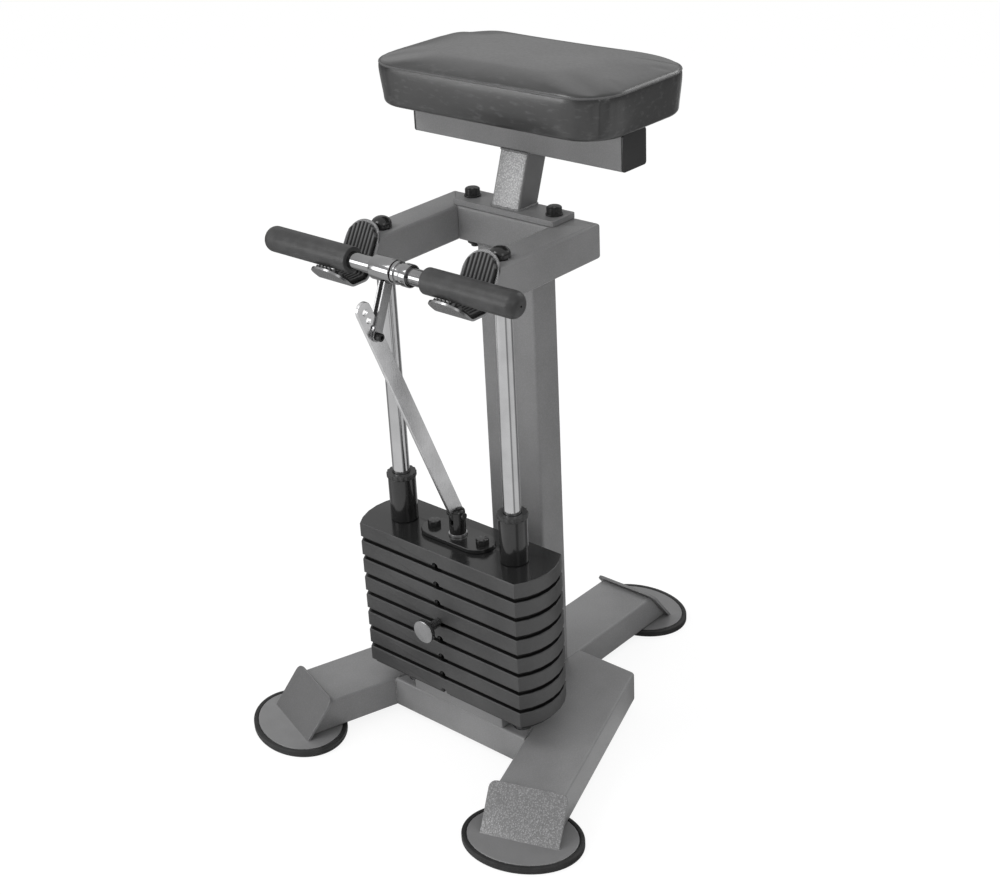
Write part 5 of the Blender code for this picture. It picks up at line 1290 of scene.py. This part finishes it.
def makeStage():
    studio = {"size": 14.0, "sink": 0.0004, "floor": 0.86, "lift": 0.80, "white": 1.09, "mirror": 0.85,
              "dim": 0.75, "world": 0.82, "tilt": 0.35, "key": 15.0, "front": 24.0, "fill": 6.0, "rim": 9.0}
    mesh = bpy.data.meshes.new("floor")
    corners = [(x * studio["size"], y * studio["size"], -studio["sink"])
               for x, y in ((-1, -1), (1, -1), (1, 1), (-1, 1))]
    mesh.from_pydata(corners, [], [[0, 1, 2, 3]])
    linked("floor", mesh)
    pale = Recipe("paleFloor", (studio["floor"],) * 3, 0.9)
    rays = pale.node("LightPath", output="Is Camera Ray")
    gloss = pale.node("LightPath", output="Is Glossy Ray")
    # what polished metal sees in the floor: a pale room with soft dark gaps between its lamps, dim far away
    spot = pale.place(shift=(0, float(-railY), 0))
    turn = pale.node("TexGradient", {"gradient_type": "RADIAL"}, {"Vector": spot}, "Fac")
    gaps = [(0.0, 0.22), (0.044, 0.22), (0.085, 0.80), (0.410, 0.86), (0.436, 0.20), (0.458, 0.20),
            (0.486, 0.74), (0.610, 0.78), (0.656, 0.12), (0.733, 0.12), (0.772, 0.50), (0.861, 0.42),
            (0.889, 0.22), (1.0, 0.22)]
    sector = pale.node("ValToRGB", {"stops": gaps}, {"Fac": turn})
    reach = pale.node("VectorMath", {"operation": "LENGTH"}, {0: spot}, "Value")
    mirrored = sector * (1 - reach.smooth(3.4, 5.5) * studio["dim"])
    seen = pale.blend(gloss, (1.0, 1.0, 1.0), mirrored)
    glow = pale.node("Emission", None, {"Color": seen, "Strength": studio["white"]})
    output = pale.tree.nodes["Material Output"]
    surface = Wire(pale, pale.shader.outputs[0])
    share = rays * studio["lift"] + gloss * studio["mirror"]
    shown = pale.node("MixShader", None, {0: share, 1: surface, 2: glow})
    pale.join(output.inputs["Surface"], shown)
    mesh.materials.append(pale.material)

    world = bpy.data.worlds.new("studio")
    bpy.context.scene.world = world
    room = Room(world)
    way = room.node("TexCoord", output="Generated")
    height = room.along("Z", way) * 0.5 + 0.5
    # a room that is dimmer at eye level, bright overhead and a little brighter towards the front left
    softStops = [(0.0, 0.55), (0.46, 0.62), (0.52, 0.42), (0.62, 0.60), (0.80, 0.92), (1.0, 1.0)]
    hardStops = [(0.0, 0.35), (0.47, 0.35), (0.495, 0.12), (0.515, 0.14), (0.55, 0.62),
                 (0.65, 0.80), (0.80, 0.95), (1.0, 1.0)]
    soft = room.node("ValToRGB", {"stops": softStops}, {"Fac": height})
    hard = room.node("ValToRGB", {"stops": hardStops}, {"Fac": height})
    tilt = room.node("VectorMath", {"operation": "DOT_PRODUCT"}, {0: way, 1: (-0.55, -0.83, 0.0)}, "Value")
    rays = room.node("LightPath", output="Is Camera Ray")
    gloss = room.node("LightPath", output="Is Glossy Ray")
    lit = soft * (1 + tilt * studio["tilt"]) * studio["world"]
    level = lit * (1 - gloss) + hard * gloss * studio["world"]
    back = room.node("Background", None, {"Color": (1, 1, 1, 1), "Strength": level * (1 - rays) + rays})
    room.node("OutputWorld", None, {"Surface": back})

    def lamp(name, place, aim, size, power):
        data = bpy.data.lights.new(name, "AREA")
        data.shape = "RECTANGLE"
        data.size, data.size_y = size
        data.energy = power
        away = unit(np.asarray(place, float) - np.asarray(aim, float))
        level = unit(np.cross((0, 0, 1), away))
        stood(name, data, (level, np.cross(away, level), away), place)

    lamp("key", (-0.9, -1.6, 2.6), (0, 0, 0.5), (1.2, 0.8), studio["key"])
    lamp("front", (-1.5, -2.5, 1.0), (0, 0, 0.45), (1.4, 1.2), studio["front"])
    lamp("fill", (2.2, -0.9, 1.5), (0, 0, 0.5), (0.9, 1.6), studio["fill"])
    lamp("rim", (0.6, 2.0, 2.0), (0, 0, 0.6), (1.0, 1.0), studio["rim"])
    bpy.context.scene.view_settings.view_transform = "Standard"


makeStage()

print("stage set")
